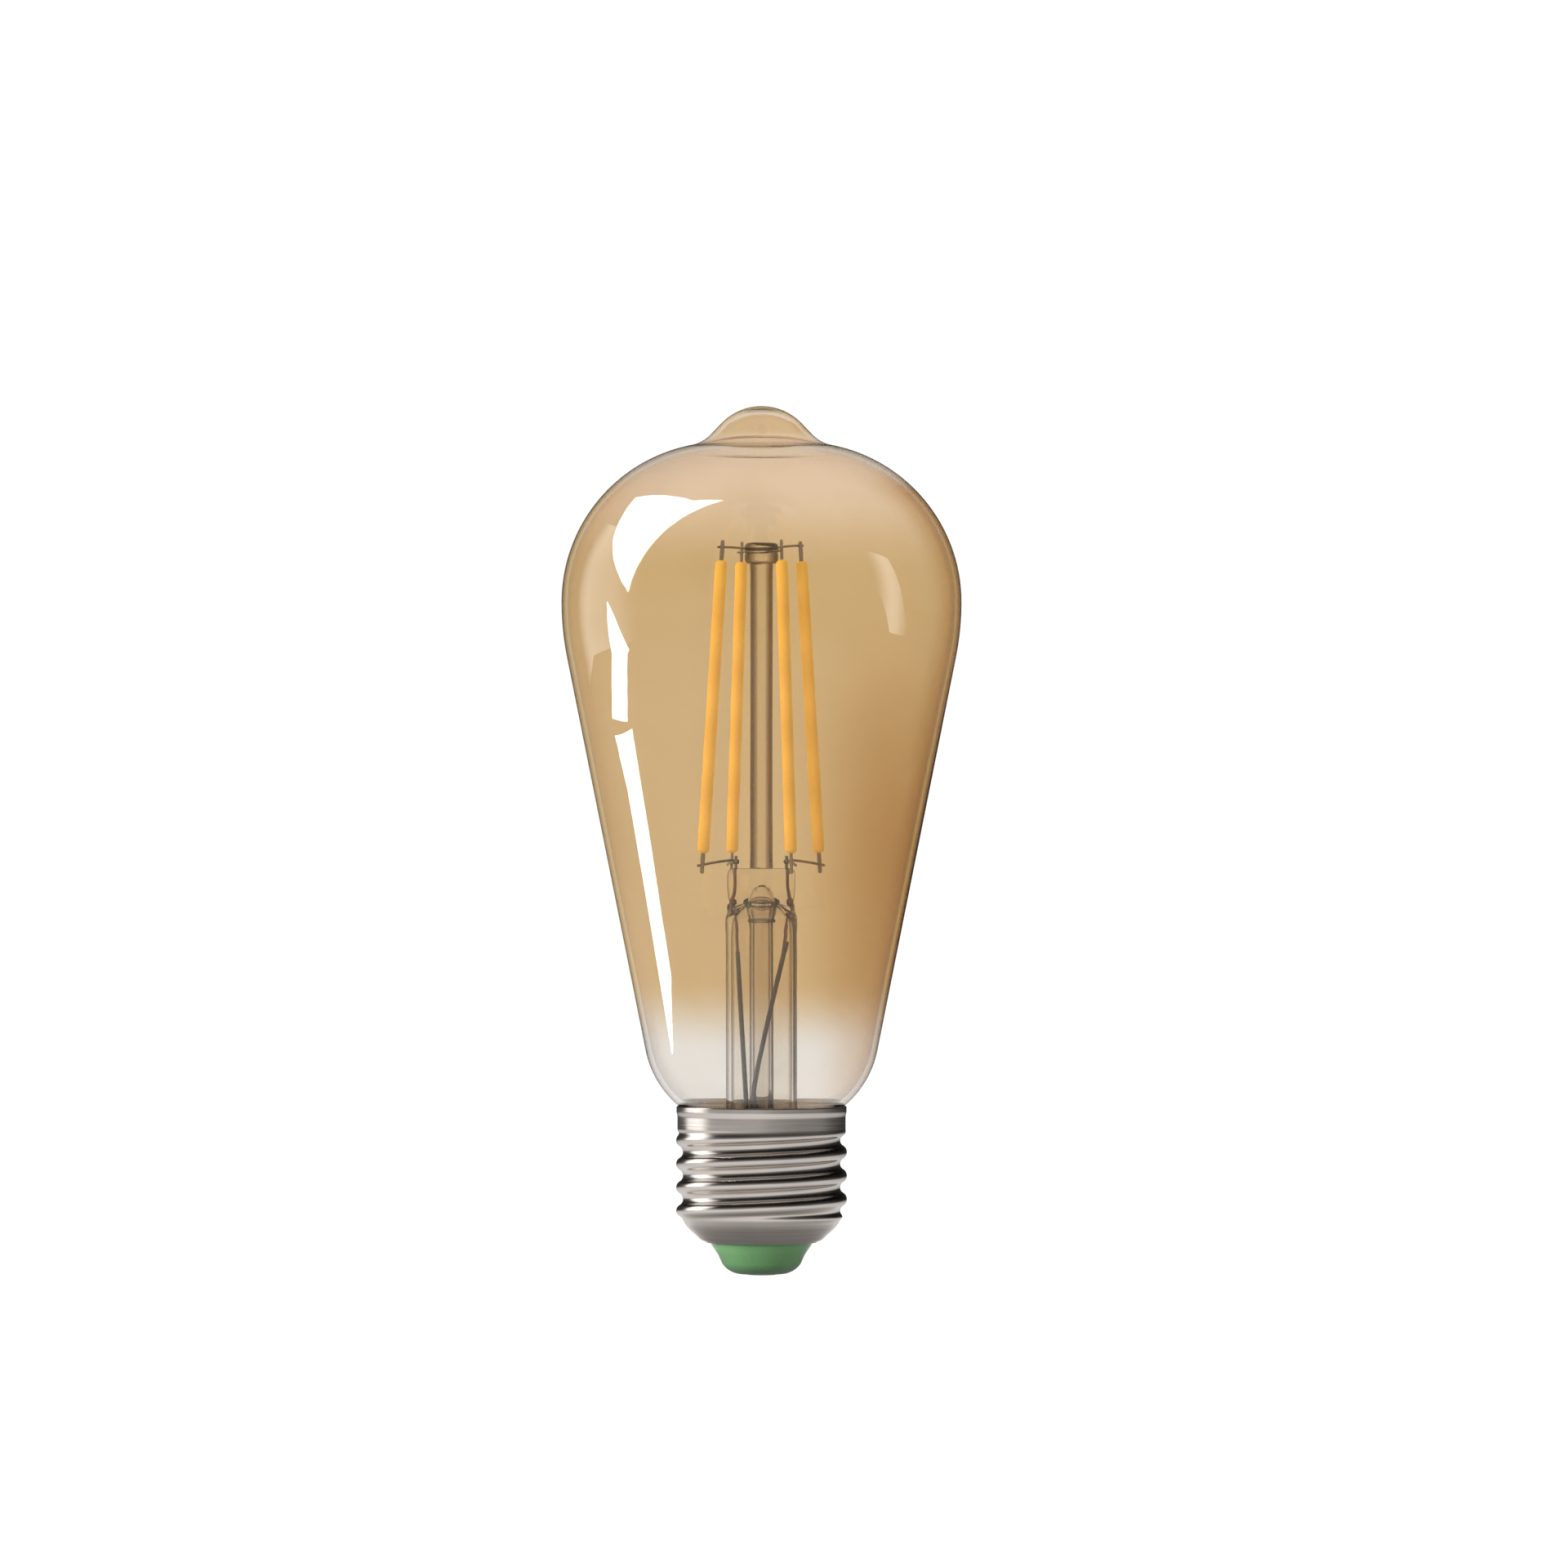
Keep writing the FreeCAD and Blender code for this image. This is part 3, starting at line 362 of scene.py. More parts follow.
def coating_tint(paint, facing, level):
    """The amber coating's tint."""
    sides = []
    for tints in (LEFT_TINTS, RIGHT_SHADE_TINTS):
        # Each side darkens towards its outline, partly painted shade; the right side is darker,
        # painted shade.
        sides.append(paint.ramp(facing, (0.0, AMBER), (0.5, AMBER), *zip(TINT_STEPS, tints)))
    amber = paint.mixed(paint.between(paint.along("X"), *TINT_SIDES), *sides)
    soft = paint.ramp(facing, (0.0, AMBER), (0.7, AMBER), (1.0, LEFT_TINTS[0]))
    height = paint.along("Z")
    below_tip = paint.between(height, *JOIN_HIGH)
    join = paint.sums("MULTIPLY", paint.between(height, *JOIN_LOW), below_tip)
    amber = paint.mixed(join, amber, soft)
    thin = paint.between(level, *THIN_HEIGHTS)
    below_tip = paint.sums("MULTIPLY_ADD", below_tip, 1 - THIN_IN_TIP, THIN_IN_TIP)
    thin = paint.sums("MULTIPLY", thin, below_tip)
    # Painted shade: the lower right is darker.
    right = paint.between(paint.along("X"), *RIGHT_SHADE_ASIDE)
    right_shade = paint.sums("MULTIPLY", right, paint.between(level, *RIGHT_SHADE_HEIGHTS))
    amber = paint.mixed(thin, amber, THIN_AMBER, "MULTIPLY")
    return paint.mixed(right_shade, amber, RIGHT_SHADE_AMBER, "MULTIPLY")


def foot_tint(paint, facing):
    """The bare foot's tint."""
    # Painted shade: darker towards the outline, and darker and warmer at the right.
    foot = paint.ramp(
        facing, (0.0, FOOT_GLASS), (0.5, FOOT_GLASS), (0.76, FOOT_SIDE), (0.95, FOOT_EDGE)
    )
    right = paint.between(paint.along("X"), *RIGHT_FOOT_SHADE_ASIDE)
    return paint.mixed(right, foot, RIGHT_FOOT_SHADE, "MULTIPLY")


def amber_glass():
    """Clear glass that is coated amber but for its foot."""
    paint = Paint("amber_glass")
    grain = paint.grain(9.0, 2.0)
    wander = paint.sums("MULTIPLY_ADD", grain, AMBER_WANDER, -AMBER_WANDER / 2)
    level = paint.sums("ADD", paint.along("Z"), wander)
    facing = paint.facing()
    coated = paint.between(level, *AMBER_HEIGHTS)
    tint = paint.mixed(coated, foot_tint(paint, facing), coating_tint(paint, facing, level))
    cloud = paint.ramp(paint.grain(14.0, 2.0), (0.3, (0.97, 0.965, 0.95)), (0.7, WHOLE))
    tint = paint.mixed(1.0, tint, cloud, "MULTIPLY")
    # Painted dark reflection: the glass is darkened where it is seen in reflections from outside.
    rays = paint.node("ShaderNodeLightPath").outputs
    outside = paint.sums("LESS_THAN", rays["Transmission Depth"], 0.5)
    mirrored = paint.sums("MULTIPLY", rays["Is Glossy Ray"], outside)
    tint = paint.mixed(mirrored, tint, PAINTED_DARK_REFLECTION, "MULTIPLY")
    paint.glass(tint)
    paint.bump(paint.grain(26.0, 1.0, (1, 1, 2)), 0.02, 0.2)
    return paint.material


def clear_glass(name, *outline_shades):
    """Mount glass, darkened towards its outline by the given stops: painted shade for the dark edges
    of drawn rod and tube.
    """
    paint = Paint(name)
    drawn = paint.grain(0.5, 2.0, (1, 1, 30))
    streaks = paint.ramp(drawn, (0.3, (0.96, 0.95, 0.93)), (0.7, WHOLE))
    # Painted shade: darker towards the outline.
    outline = paint.ramp(paint.facing(), (0.0, (0.95, 0.93, 0.90)), *outline_shades)
    tint = paint.mixed(1.0, outline, streaks, "MULTIPLY")
    paint.glass(tint)
    paint.bump(paint.grain(1.2, 1.0, (1, 1, 12)), 0.03, 0.4)
    return paint.material


def phosphor_coat():
    """Orange silicone that holds yellow phosphor, in soft bands along its row of dies, with a faint
    painted glow.
    """
    paint = Paint("phosphor_coat")
    rows = paint.stretched((1, 1, 1 / (1.5 * MM)))
    inputs = {"Vector": rows, "Scale": 0.05, "Distortion": 0.6}
    wave = paint.node("ShaderNodeTexWave", inputs, bands_direction="Z")
    speckle = paint.grain(0.25, 4.0)
    base = paint.ramp(speckle, (0.3, (0.97, 0.58, 0.11)), (0.7, (1.0, 0.68, 0.155)))
    dies = paint.ramp(wave.outputs[1], (0.0, (0.92, 0.90, 0.84)), (1.0, WHOLE))
    tint = paint.mixed(1.0, base, dies, "MULTIPLY")
    paint.set(base_color=tint, roughness=0.42, subsurface_weight=0.25, emission_color=tint)
    paint.shader.inputs["Subsurface Radius"].default_value = (1.0, 0.45, 0.1)
    paint.shader.inputs["Subsurface Scale"].default_value = 0.6 * MM
    # Painted glow: the unlit coat glows a little.
    paint.shader.inputs["Emission Strength"].default_value = 0.58
    paint.bump(paint.grain(0.6, 2.0, (1, 1, 3)), 0.04, 0.5)
    return paint.material


def plated(name, dark, light, low_rough, high_rough, size, stretch, depth):
    """Metal with fine drawn or rolled lines. stretch is their grain's length along each axis."""
    paint = Paint(name)
    lines = paint.grain(size, 4.0, stretch)
    patches = paint.grain(6.0, 2.0)
    tint = paint.mixed(
        0.35,
        paint.ramp(lines, (0.25, dark), (0.75, light)),
        paint.ramp(patches, (0.3, dark), (0.7, light)),
    )
    rough = paint.ramp(lines, (0.25, low_rough), (0.75, high_rough))
    paint.set(base_color=tint, metallic=1.0, roughness=rough)
    paint.bump(lines, depth, 0.5)
    return paint.material


def moulded(name, dark, light, rough, size, depth, **extra):
    """Plastic, ceramic or ferrite with a fine mottle."""
    paint = Paint(name)
    speckle = paint.grain(size, 5.0)
    tint = paint.mixed(
        0.5,
        paint.ramp(speckle, (0.3, dark), (0.7, light)),
        paint.ramp(paint.grain(size * 12, 2.0), (0.3, dark), (0.7, light)),
    )
    spread = paint.ramp(paint.grain(size * 5, 3.0), (0.3, rough * 0.8), (0.7, rough * 1.25))
    paint.set(base_color=tint, roughness=spread, **extra)
    paint.bump(speckle, depth, 0.5)
    return paint.material


# Lines that run level round a turned part.
LEVEL_LINES = (1, 1, 0.012)

PAINTS = {
    "amber_glass": amber_glass(),
    "clear_glass": clear_glass(
        "clear_glass",
        (0.5, (0.96, 0.95, 0.93)),
        (0.64, (0.30, 0.24, 0.21)),
        (0.74, (0.02, 0.015, 0.013)),
    ),
    "rod_glass": clear_glass(
        "rod_glass",
        (0.05, (0.90, 0.87, 0.82)),
        (0.11, (0.36, 0.30, 0.22)),
        (0.40, (0.10, 0.075, 0.055)),
    ),
    "pump_glass": clear_glass(
        "pump_glass",
        (0.3, (0.97, 0.95, 0.95)),
        (0.44, (0.36, 0.31, 0.30)),
        (0.56, (0.05, 0.04, 0.04)),
    ),
    "phosphor_coat": phosphor_coat(),
    "carrier_strip": moulded("carrier_strip", (0.7, 0.7, 0.67), (0.86, 0.86, 0.83), 0.5, 0.1, 0.004),
    "led_dies": moulded("led_dies", (0.3, 0.4, 0.55), (0.5, 0.6, 0.75), 0.2, 0.05, 0.002),
    "nickel_wire": plated(
        "nickel_wire", (0.20, 0.185, 0.18), (0.36, 0.34, 0.33), 0.22, 0.4, 0.15, (6, 6, 6), 0.008
    ),
    "tab_steel": plated(
        "tab_steel", (0.26, 0.245, 0.25), (0.42, 0.40, 0.41), 0.25, 0.45, 0.2, (1, 1, 8), 0.01
    ),
    "copper_wire": plated(
        "copper_wire", (0.20, 0.09, 0.06), (0.42, 0.21, 0.15), 0.25, 0.42, 0.15, (1, 1, 14), 0.01
    ),
    "sleeve_plastic": moulded(
        "sleeve_plastic", (0.045, 0.035, 0.035), (0.09, 0.078, 0.075), 0.4, 0.15, 0.01
    ),
    "nickel_shell": plated(
        "nickel_shell", (0.60, 0.55, 0.51), (0.74, 0.69, 0.65), 0.14, 0.27, 14.0, LEVEL_LINES, 0.012
    ),
    "cap_cement": moulded("cap_cement", (0.72, 0.69, 0.64), (0.88, 0.86, 0.81), 0.85, 0.35, 0.12),
    "green_insulator": moulded(
        "green_insulator", (0.14, 0.33, 0.13), (0.185, 0.40, 0.17), 0.22, 0.3, 0.006,
        coat_weight=0.4,
    ),
    "contact_metal": plated(
        "contact_metal", (0.52, 0.48, 0.42), (0.72, 0.68, 0.62), 0.22, 0.4, 0.6, (1, 1, 1), 0.02
    ),
    "board_green": moulded("board_green", (0.012, 0.09, 0.04), (0.02, 0.14, 0.06), 0.35, 0.3, 0.01),
    "component_black": moulded(
        "component_black", (0.012, 0.012, 0.013), (0.03, 0.03, 0.032), 0.5, 0.12, 0.01
    ),
    "can_aluminium": plated(
        "can_aluminium", (0.62, 0.62, 0.63), (0.8, 0.8, 0.81), 0.2, 0.35, 0.4, (1, 1, 1), 0.008
    ),
    "shield_steel": plated(
        "shield_steel", (0.5, 0.5, 0.49), (0.68, 0.68, 0.67), 0.25, 0.4, 0.3, (8, 1, 1), 0.008
    ),
    "ferrite": moulded("ferrite", (0.02, 0.02, 0.022), (0.05, 0.05, 0.052), 0.6, 0.2, 0.02),
    "copper_winding": plated(
        "copper_winding", (0.42, 0.16, 0.07), (0.68, 0.30, 0.15), 0.25, 0.4, 0.3, (1, 1, 1), 0.05
    ),
    "resistor_green": moulded(
        "resistor_green", (0.12, 0.24, 0.17), (0.18, 0.32, 0.24), 0.4, 0.2, 0.02
    ),
    "varistor_blue": moulded(
        "varistor_blue", (0.02, 0.08, 0.26), (0.04, 0.13, 0.36), 0.35, 0.25, 0.02
    ),
    "sleeve_film": moulded("sleeve_film", (0.55, 0.55, 0.52), (0.7, 0.7, 0.67), 0.3, 0.4, 0.01),
}


# ---- glass envelope ----

# Arcs are radii, and slopes are degrees from the level (shoulder, tip) or the upright.
WALL = 0.9
EQUATOR = 103.6
SHOULDER_ARC, SHOULDER_SLOPE = 24.64, 11.0
HOLLOW_ARC, TIP_SLOPE = 5.7, 46.0
BELLY_ARC, CONE_SLOPE = 43.0, 11.31
FOOT_HEIGHT, FOOT_ARC, FOOT_SLOPE = 34.6, 15.0, 52.0
NECK_ARC, NECK_END = 2.9, 16.0
TIP_THICKENING = 0.15


def envelope(inset, tip_extra):
    """Half of the envelope's outline, from the neck's end up to the tip, inset by the wall."""
    high = span("glass_bulb")[1]
    cone, foot = degrees(CONE_SLOPE), degrees(FOOT_SLOPE)
    shoulder, tip = degrees(SHOULDER_SLOPE), degrees(TIP_SLOPE)
    belly = (high.x - BELLY_ARC, EQUATOR)
    wide = (high.x - SHOULDER_ARC, EQUATOR)
    cone_top = (belly[0] + BELLY_ARC * math.cos(cone), EQUATOR - BELLY_ARC * math.sin(cone))
    cone_foot = cone_top[0] - (cone_top[1] - FOOT_HEIGHT) * math.tan(cone)
    foot_centre = (
        cone_foot - FOOT_ARC * math.cos(cone),
        FOOT_HEIGHT + FOOT_ARC * math.sin(cone),
    )
    neck_centre = (
        foot_centre[0] + (FOOT_ARC + NECK_ARC) * math.cos(foot),
        foot_centre[1] - (FOOT_ARC + NECK_ARC) * math.sin(foot),
    )
    hollow = (
        wide[0] + (SHOULDER_ARC + HOLLOW_ARC) * math.sin(shoulder),
        EQUATOR + (SHOULDER_ARC + HOLLOW_ARC) * math.cos(shoulder),
    )
    reach = hollow[0] * math.sin(tip) + hollow[1] * math.cos(tip) - HOLLOW_ARC
    dome = (reach - high.z * math.cos(tip)) / (1 - math.cos(tip))
    dome_centre = (0.0, high.z - dome)

    def dome_reach(share):
        return dome - inset - tip_extra * smooth_step(0.0, 1.0, share)

    return [
        (neck_centre[0] - NECK_ARC - inset, NECK_END),
        *arc(neck_centre, NECK_ARC + inset, 180.0, 180.0 - FOOT_SLOPE, 10),
        *arc(foot_centre, FOOT_ARC - inset, -FOOT_SLOPE, -CONE_SLOPE, 16),
        *arc(belly, BELLY_ARC - inset, -CONE_SLOPE, 0.0, 10),
        *arc(wide, SHOULDER_ARC - inset, 0.0, 90.0 - SHOULDER_SLOPE, 40)[1:],
        *arc(hollow, HOLLOW_ARC + inset, 270.0 - SHOULDER_SLOPE, 270.0 - TIP_SLOPE, 14),
        *arc(dome_centre, dome_reach, 90.0 - TIP_SLOPE, 90.0, 18),
    ]


def glass_bulb():
    """Blown envelope, one wall turned from its outer and inner outlines."""
    outer = envelope(0.0, 0.0)
    inner = envelope(WALL, TIP_THICKENING)
    data = lathe("glass_bulb_envelope", outer + inner[::-1], 256)
    finished(data, ["glass_bulb"], "amber_glass")


# ---- glass mount ----

STEM_RADIUS, STEM_WALL = 5.5, 0.8
FLARE_START, FLARE_ARC, FLARE_SLOPE, FLARE_RIM = 25.6, 12.0, 52.0, 0.9
PRESS_HALF_WIDTH, PRESS_HALF_DEPTH = 5.25, 2.2
PRESS_TOP = 62.7
BORE_TOP = 60.1


def flare(radius, wall):
    """The flare's rings, from its rim up to the straight tube."""
    centre = STEM_RADIUS + FLARE_ARC
    rings = []
    for reach, height in arc((0.0, FLARE_START), FLARE_ARC + wall, -FLARE_SLOPE, 0.0, 14):
        rings.append((centre - reach, centre - reach, 2.0, height))
    return rings[:-1] + [(radius, radius, 2.0, FLARE_START)]


def stem_glass():
    """Flare tube, flattened above into the press that the lead wires pass through. A section is
    its half width, half depth, roundness and height."""
    wide, deep = PRESS_HALF_WIDTH, PRESS_HALF_DEPTH
    bore = STEM_RADIUS - STEM_WALL
    rim = NECK_END - FLARE_RIM
    outside = [
        (11.0, 11.0, 2.0, rim + 0.1),
        (11.2, 11.2, 2.0, rim + 0.45),
        (10.9, 10.9, 2.0, NECK_END - 0.05),
        *flare(STEM_RADIUS, 0.0),
        (STEM_RADIUS, STEM_RADIUS, 2.0, 52.4),
        (STEM_RADIUS + 0.08, 5.3, 2.0, 53.8),
        (STEM_RADIUS + 0.05, 4.6, 2.1, 55.0),
        (STEM_RADIUS - 0.35, 3.5, 2.3, 56.2),
        (wide - 0.35, 2.75, 2.7, 57.2),
        (wide - 0.1, 2.35, 3.3, 58.4),
        (wide, deep, 4.0, 60.0),
        (wide, deep, 4.0, 61.7),
        (wide - 0.12, deep - 0.12, 4.0, 62.3),
        (wide - 0.5, deep - 0.5, 4.0, PRESS_TOP - 0.08),
        (wide - 1.1, deep - 1.0, 4.0, PRESS_TOP),
        (0.9, 0.4, 3.0, PRESS_TOP - 0.02),
    ]
    inside = [
        *flare(bore, STEM_WALL),
        (bore, bore, 2.0, 53.2),
        (bore - 0.1, bore - 0.6, 2.0, 54.4),
        (4.25, 2.7, 2.1, 55.4),
        (3.4, 1.8, 2.3, 56.2),
        (2.4, 1.25, 2.3, 56.9),
        (1.95, 1.1, 2.2, 57.6),
        (1.8, 1.0, 2.1, 58.5),
        (1.35, 0.8, 2.0, 59.4),
        (0.8, 0.5, 2.0, 59.9),
        (0.35, 0.22, 2.0, BORE_TOP),
    ]
    outer = [rounded_section(*section) for section in outside]
    inner = [rounded_section(*section) for section in inside]
    points, faces = skin(outer, False)
    count = len(outer[0])
    faces.pop(-2)
    start = len(points)
    inner_points, inner_faces = skin(inner, False)
    inner_faces.pop(-2)
    points += inner_points
    faces += [tuple(reversed([start + index for index in face])) for face in inner_faces]
    for column in range(count):
        after = (column + 1) % count
        faces.append((after, column, start + column, start + after))
    data = smooth_mesh("stem_glass_flare", points, faces, 60.0)
    finished(data, ["stem_glass"], "clear_glass")


# Each fold's height, half width, half depth, thickness, and how far it dips in front.
PRESS_FOLDS = {
    "press_fold_upper": (57.2, 2.25, 1.1, 0.4, 0.5),
    "press_fold_lower": (54.9, 2.0, 2.0, 0.2, 0.3),
}


def press_folds():
    """Folds of glass round the bore, where the press was squeezed on to the exhaust tube."""
    for name, (height, half_width, half_depth, thickness, dip) in PRESS_FOLDS.items():
        rings = []
        for angle in range(0, 360, 15):
            out = thickness * math.cos(degrees(angle))
            rise = thickness * math.sin(degrees(angle))
            level = rounded_section(half_width + out, half_depth + out, 2.0, height + rise, 96)
            rings.append([(x, y, z + dip * y / half_depth) for x, y, z in level])
        data = smooth_mesh(name, *skin(rings, True), 80.0)
        finished(data, [], "clear_glass", "rod_glass")


def press_knots():
    """Glass that swelled round each seal wire where the tube was squeezed flat."""
    for side, sign in (("left", -1), ("right", 1)):
        centre, size = (sign * 4.5, 0.0, 56.4), (0.7, 0.9, 1.3)
        name = f"press_knot_{side}"
        melted_bead(name, centre, size, 11.0 + sign, "clear_glass", "pump_glass")


def exhaust_tube():
    """Thin tube that the lamp was pumped through, sealed below and widened into the press."""
    low, high = span("exhaust_tube")
    radius, wall = high.x, 0.5
    profile = [
        (0.0, low.z),
        *arc((0.35, low.z + 0.4), 0.4, -90.0, -30.0, 5),
        (radius - 0.25, low.z + 2.2),
        (radius, low.z + 3.6),
        (radius, high.z - 3.0),
        (radius + 0.12, high.z - 1.2),
        (radius + 0.4, high.z - 0.2),
        (radius + 0.75, high.z + 0.7),
        (radius + 0.6, high.z + 1.1),
        (radius + 0.2, high.z + 1.0),
        (radius - wall + 0.2, high.z - 0.2),
        (radius - wall, high.z - 1.6),
        (radius - wall, low.z + 4.0),
        (radius - wall - 0.3, low.z + 2.8),
        (0.0, low.z + 1.5),
    ]
    data = lathe("exhaust_tube_drawn", profile, 96, crease=70.0)
    finished(data, ["exhaust_tube"], "clear_glass", "pump_glass")


def arbor_rod():
    """Solid rod, fused into the press below and into the bead above."""
    low, high = span("arbor_rod")
    radius = high.x
    profile = [
        (0.0, low.z + 0.02),
        (radius, low.z + 0.02),
        (radius - 0.02, low.z + 0.5),
        (radius - 0.06, low.z + 1.4),
        (radius - 0.08, blend(low.z, high.z, 0.5)),
        (radius - 0.05, high.z - 1.2),
        (radius, high.z - 0.5),
        (radius, high.z - 0.02),
        (0.0, high.z - 0.02),
    ]
    data = lathe("arbor_rod_drawn", profile, 96)
    finished(data, ["arbor_rod"], "clear_glass", "rod_glass")


def arbor_bead():
    """Glass button that holds the top wires, pressed flat on top, with a groove at its middle."""
    low, high = span("arbor_bead")
    radius = high.x
    middle = blend(low.z, high.z, 0.5)
    profile = [
        (0.0, low.z),
        (radius - 0.85, low.z),
        *arc((radius - 0.75, low.z + 0.7), 0.7, -80.0, 0.0, 8),
        (radius - 0.02, middle - 0.35),
        (radius - 0.12, middle),
        (radius, middle + 0.3),
        *arc((radius - 0.75, high.z - 0.75), 0.75, 0.0, 80.0, 8),
        (radius - 1.1, high.z - 0.02),
        (radius - 1.5, high.z - 0.25),
        (0.0, high.z - 0.4),
    ]
    data = lathe("arbor_bead_pressed", profile, 96, crease=50.0)
    finished(data, ["arbor_bead"], "clear_glass", "rod_glass")


# ---- filaments ----

FILAMENT_TURN, FILAMENT_LEAN = 27.0, 3.94
FILAMENT_FOOT, FILAMENT_OFFSET, FILAMENT_LENGTH = 65.0, 10.0, 45.1
COAT_RADIUS, COAT_ROUNDING = 0.95, 0.75
TAB_HALF_WIDTH, TAB_HALF_DEPTH, TAB_TAPER, TAB_REACH, TAB_INSET = 0.325, 0.15, 0.22, 3.1, 0.6


def filament_matrix(number):
    """From a filament's own upright place to where it leans in the lamp, in metres."""
    turn = degrees(FILAMENT_TURN + 90 * (number - 1))
    foot = Vector((math.cos(turn), math.sin(turn), 0)) * FILAMENT_OFFSET
    foot.z = FILAMENT_FOOT
    rotation = Matrix.Rotation(turn, 4, "Z") @ Matrix.Rotation(degrees(-FILAMENT_LEAN), 4, "Y")
    return Matrix.Translation(foot * MM) @ rotation


def filament_coat(number):
    """Silicone stick with rounded ends, not quite even, as it is cast."""

    def wobble(angle, height):
        seed = Vector((math.cos(angle) * 0.5, math.sin(angle) * 0.5 + number * 5, height * 0.35))
        fade = smooth_step(0.0, 1.0, min(height, FILAMENT_LENGTH - height))
        return (0.03 * noise.noise(seed) - 0.02) * fade

    flat = COAT_RADIUS - COAT_ROUNDING
    end = FILAMENT_LENGTH - COAT_ROUNDING
    profile = [(0.0, 0.0), *arc((flat, COAT_ROUNDING), COAT_ROUNDING, -90.0, 0.0, 8)]
    rows = 60
    for row in range(1, rows):
        profile.append((COAT_RADIUS, blend(COAT_ROUNDING, end, row / rows)))
    profile += [*arc((flat, end), COAT_ROUNDING, 0.0, 90.0, 8), (0.0, FILAMENT_LENGTH)]
    data = lathe(f"filament_{number}_silicone", profile, 48, wobble, 80.0)
    nodes = [f"filament_{number}_coat"]
    finished(data, nodes, "phosphor_coat", matrix=filament_matrix(number))


def tab_rings(low, high, free_end):
    """Rounded-corner sections of a stamped strip between two heights, narrowed at its free end
    and a little uneven in width."""
    rings = []
    rows = 14
    for row in range(rows + 1):
        share = row / rows
        height = blend(low, high, share)
        end = smooth_step(0.0, TAB_TAPER, abs(height - free_end))
        half = TAB_HALF_WIDTH * (0.55 + 0.45 * end) * (1 - 0.05 * math.sin(share * 9.0))
        rings.append(rounded_section(half, TAB_HALF_DEPTH, 5.0, height, 24))
    return rings


def filament_tabs(number):
    """The welded end tabs of a filament, stamped from thin strip."""
    low, high = -TAB_REACH, FILAMENT_LENGTH + TAB_REACH
    lower = skin(tab_rings(low, TAB_INSET, low), False)
    upper = skin(tab_rings(FILAMENT_LENGTH - TAB_INSET, high, high), False)
    start = len(lower[0])
    points = lower[0] + upper[0]
    faces = lower[1] + [tuple(start + index for index in face) for face in upper[1]]
    data = smooth_mesh(f"filament_{number}_stamped_tabs", points, faces, 50.0)
    nodes = [f"filament_{number}_tabs"]
    finished(data, nodes, "tab_steel", matrix=filament_matrix(number))


# ---- wires ----

TOP_WIRE_RADIUS, BRIDGE_RADIUS, LEAD_RADIUS, SEAL_RADIUS, SLEEVE_RADIUS = 0.18, 0.2, 0.25, 0.2, 0.36
WIRE_ASIDE = 0.33
LEAD_OFFSET, LEAD_WELD_HEIGHT, SEAL_WELD_HEIGHT = 3.9, 63.7, 57.2


def turned(point, angle):
    """A point turned about Z by an angle in degrees."""
    return Matrix.Rotation(degrees(angle), 3, "Z") @ Vector(point)


def top_wires():
    """Two wires that cross in the bead, each welded to two filaments."""
    half = 7.4
    outer = 112.0
    inner = 111.3
    outer_route = [
        (-half, WIRE_ASIDE, outer + 0.05),
        (-5.0, WIRE_ASIDE, outer + 0.05),
        (-2.2, WIRE_ASIDE - 0.1, outer - 0.2),
        (0.0, WIRE_ASIDE - 0.1, outer - 0.15),
        (2.4, WIRE_ASIDE, outer - 0.1),
        (4.4, WIRE_ASIDE, outer + 0.35),
        (half, WIRE_ASIDE, outer + 0.45),
    ]
    inner_route = [
        (-WIRE_ASIDE, -half, inner + 0.1),
        (-WIRE_ASIDE, -4.6, inner + 0.15),
        (-WIRE_ASIDE + 0.1, -2.0, inner - 0.1),
        (-WIRE_ASIDE + 0.1, 2.0, inner),
        (-WIRE_ASIDE, 4.8, inner + 0.25),
        (-WIRE_ASIDE, half, inner + 0.15),
    ]
    for node, route in (("top_wire_outer", outer_route), ("top_wire_inner", inner_route)):
        route = [turned(point, FILAMENT_TURN) for point in route]
        drawn_wire(node + "_drawn", node, route, TOP_WIRE_RADIUS, "nickel_wire")


def bottom_wires():
    """Each bridge wire joins two filaments' feet to the lead on its side of the press."""
    height = 63.2
    foot = FILAMENT_OFFSET + (FILAMENT_FOOT - height) * math.tan(degrees(FILAMENT_LEAN))
    past, beside = 0.6, 0.42
    for side, turn in (("left", 0.0), ("right", 180.0)):
        front = turned((foot + past, -beside, height - 0.1), FILAMENT_TURN + 180)
        back = turned((foot + past, beside, height), FILAMENT_TURN + 90)
        join = Vector((-LEAD_OFFSET - 0.25, 0.05, height + 0.75))
        route = [
            front,
            blend(front, join, 0.35) + Vector((0, 0, 0.12)),
            blend(front, join, 0.85) + Vector((0, 0, 0.1)),
            join,
            blend(join, back, 0.25) + Vector((0, 0, 0.02)),
            blend(join, back, 0.6) + Vector((0, 0, 0.15)),
            back,
        ]
        route = [turned(point, turn) for point in route]
        node = f"bottom_wire_{side}"
        drawn_wire(node + "_drawn", node, route, BRIDGE_RADIUS, "nickel_wire")


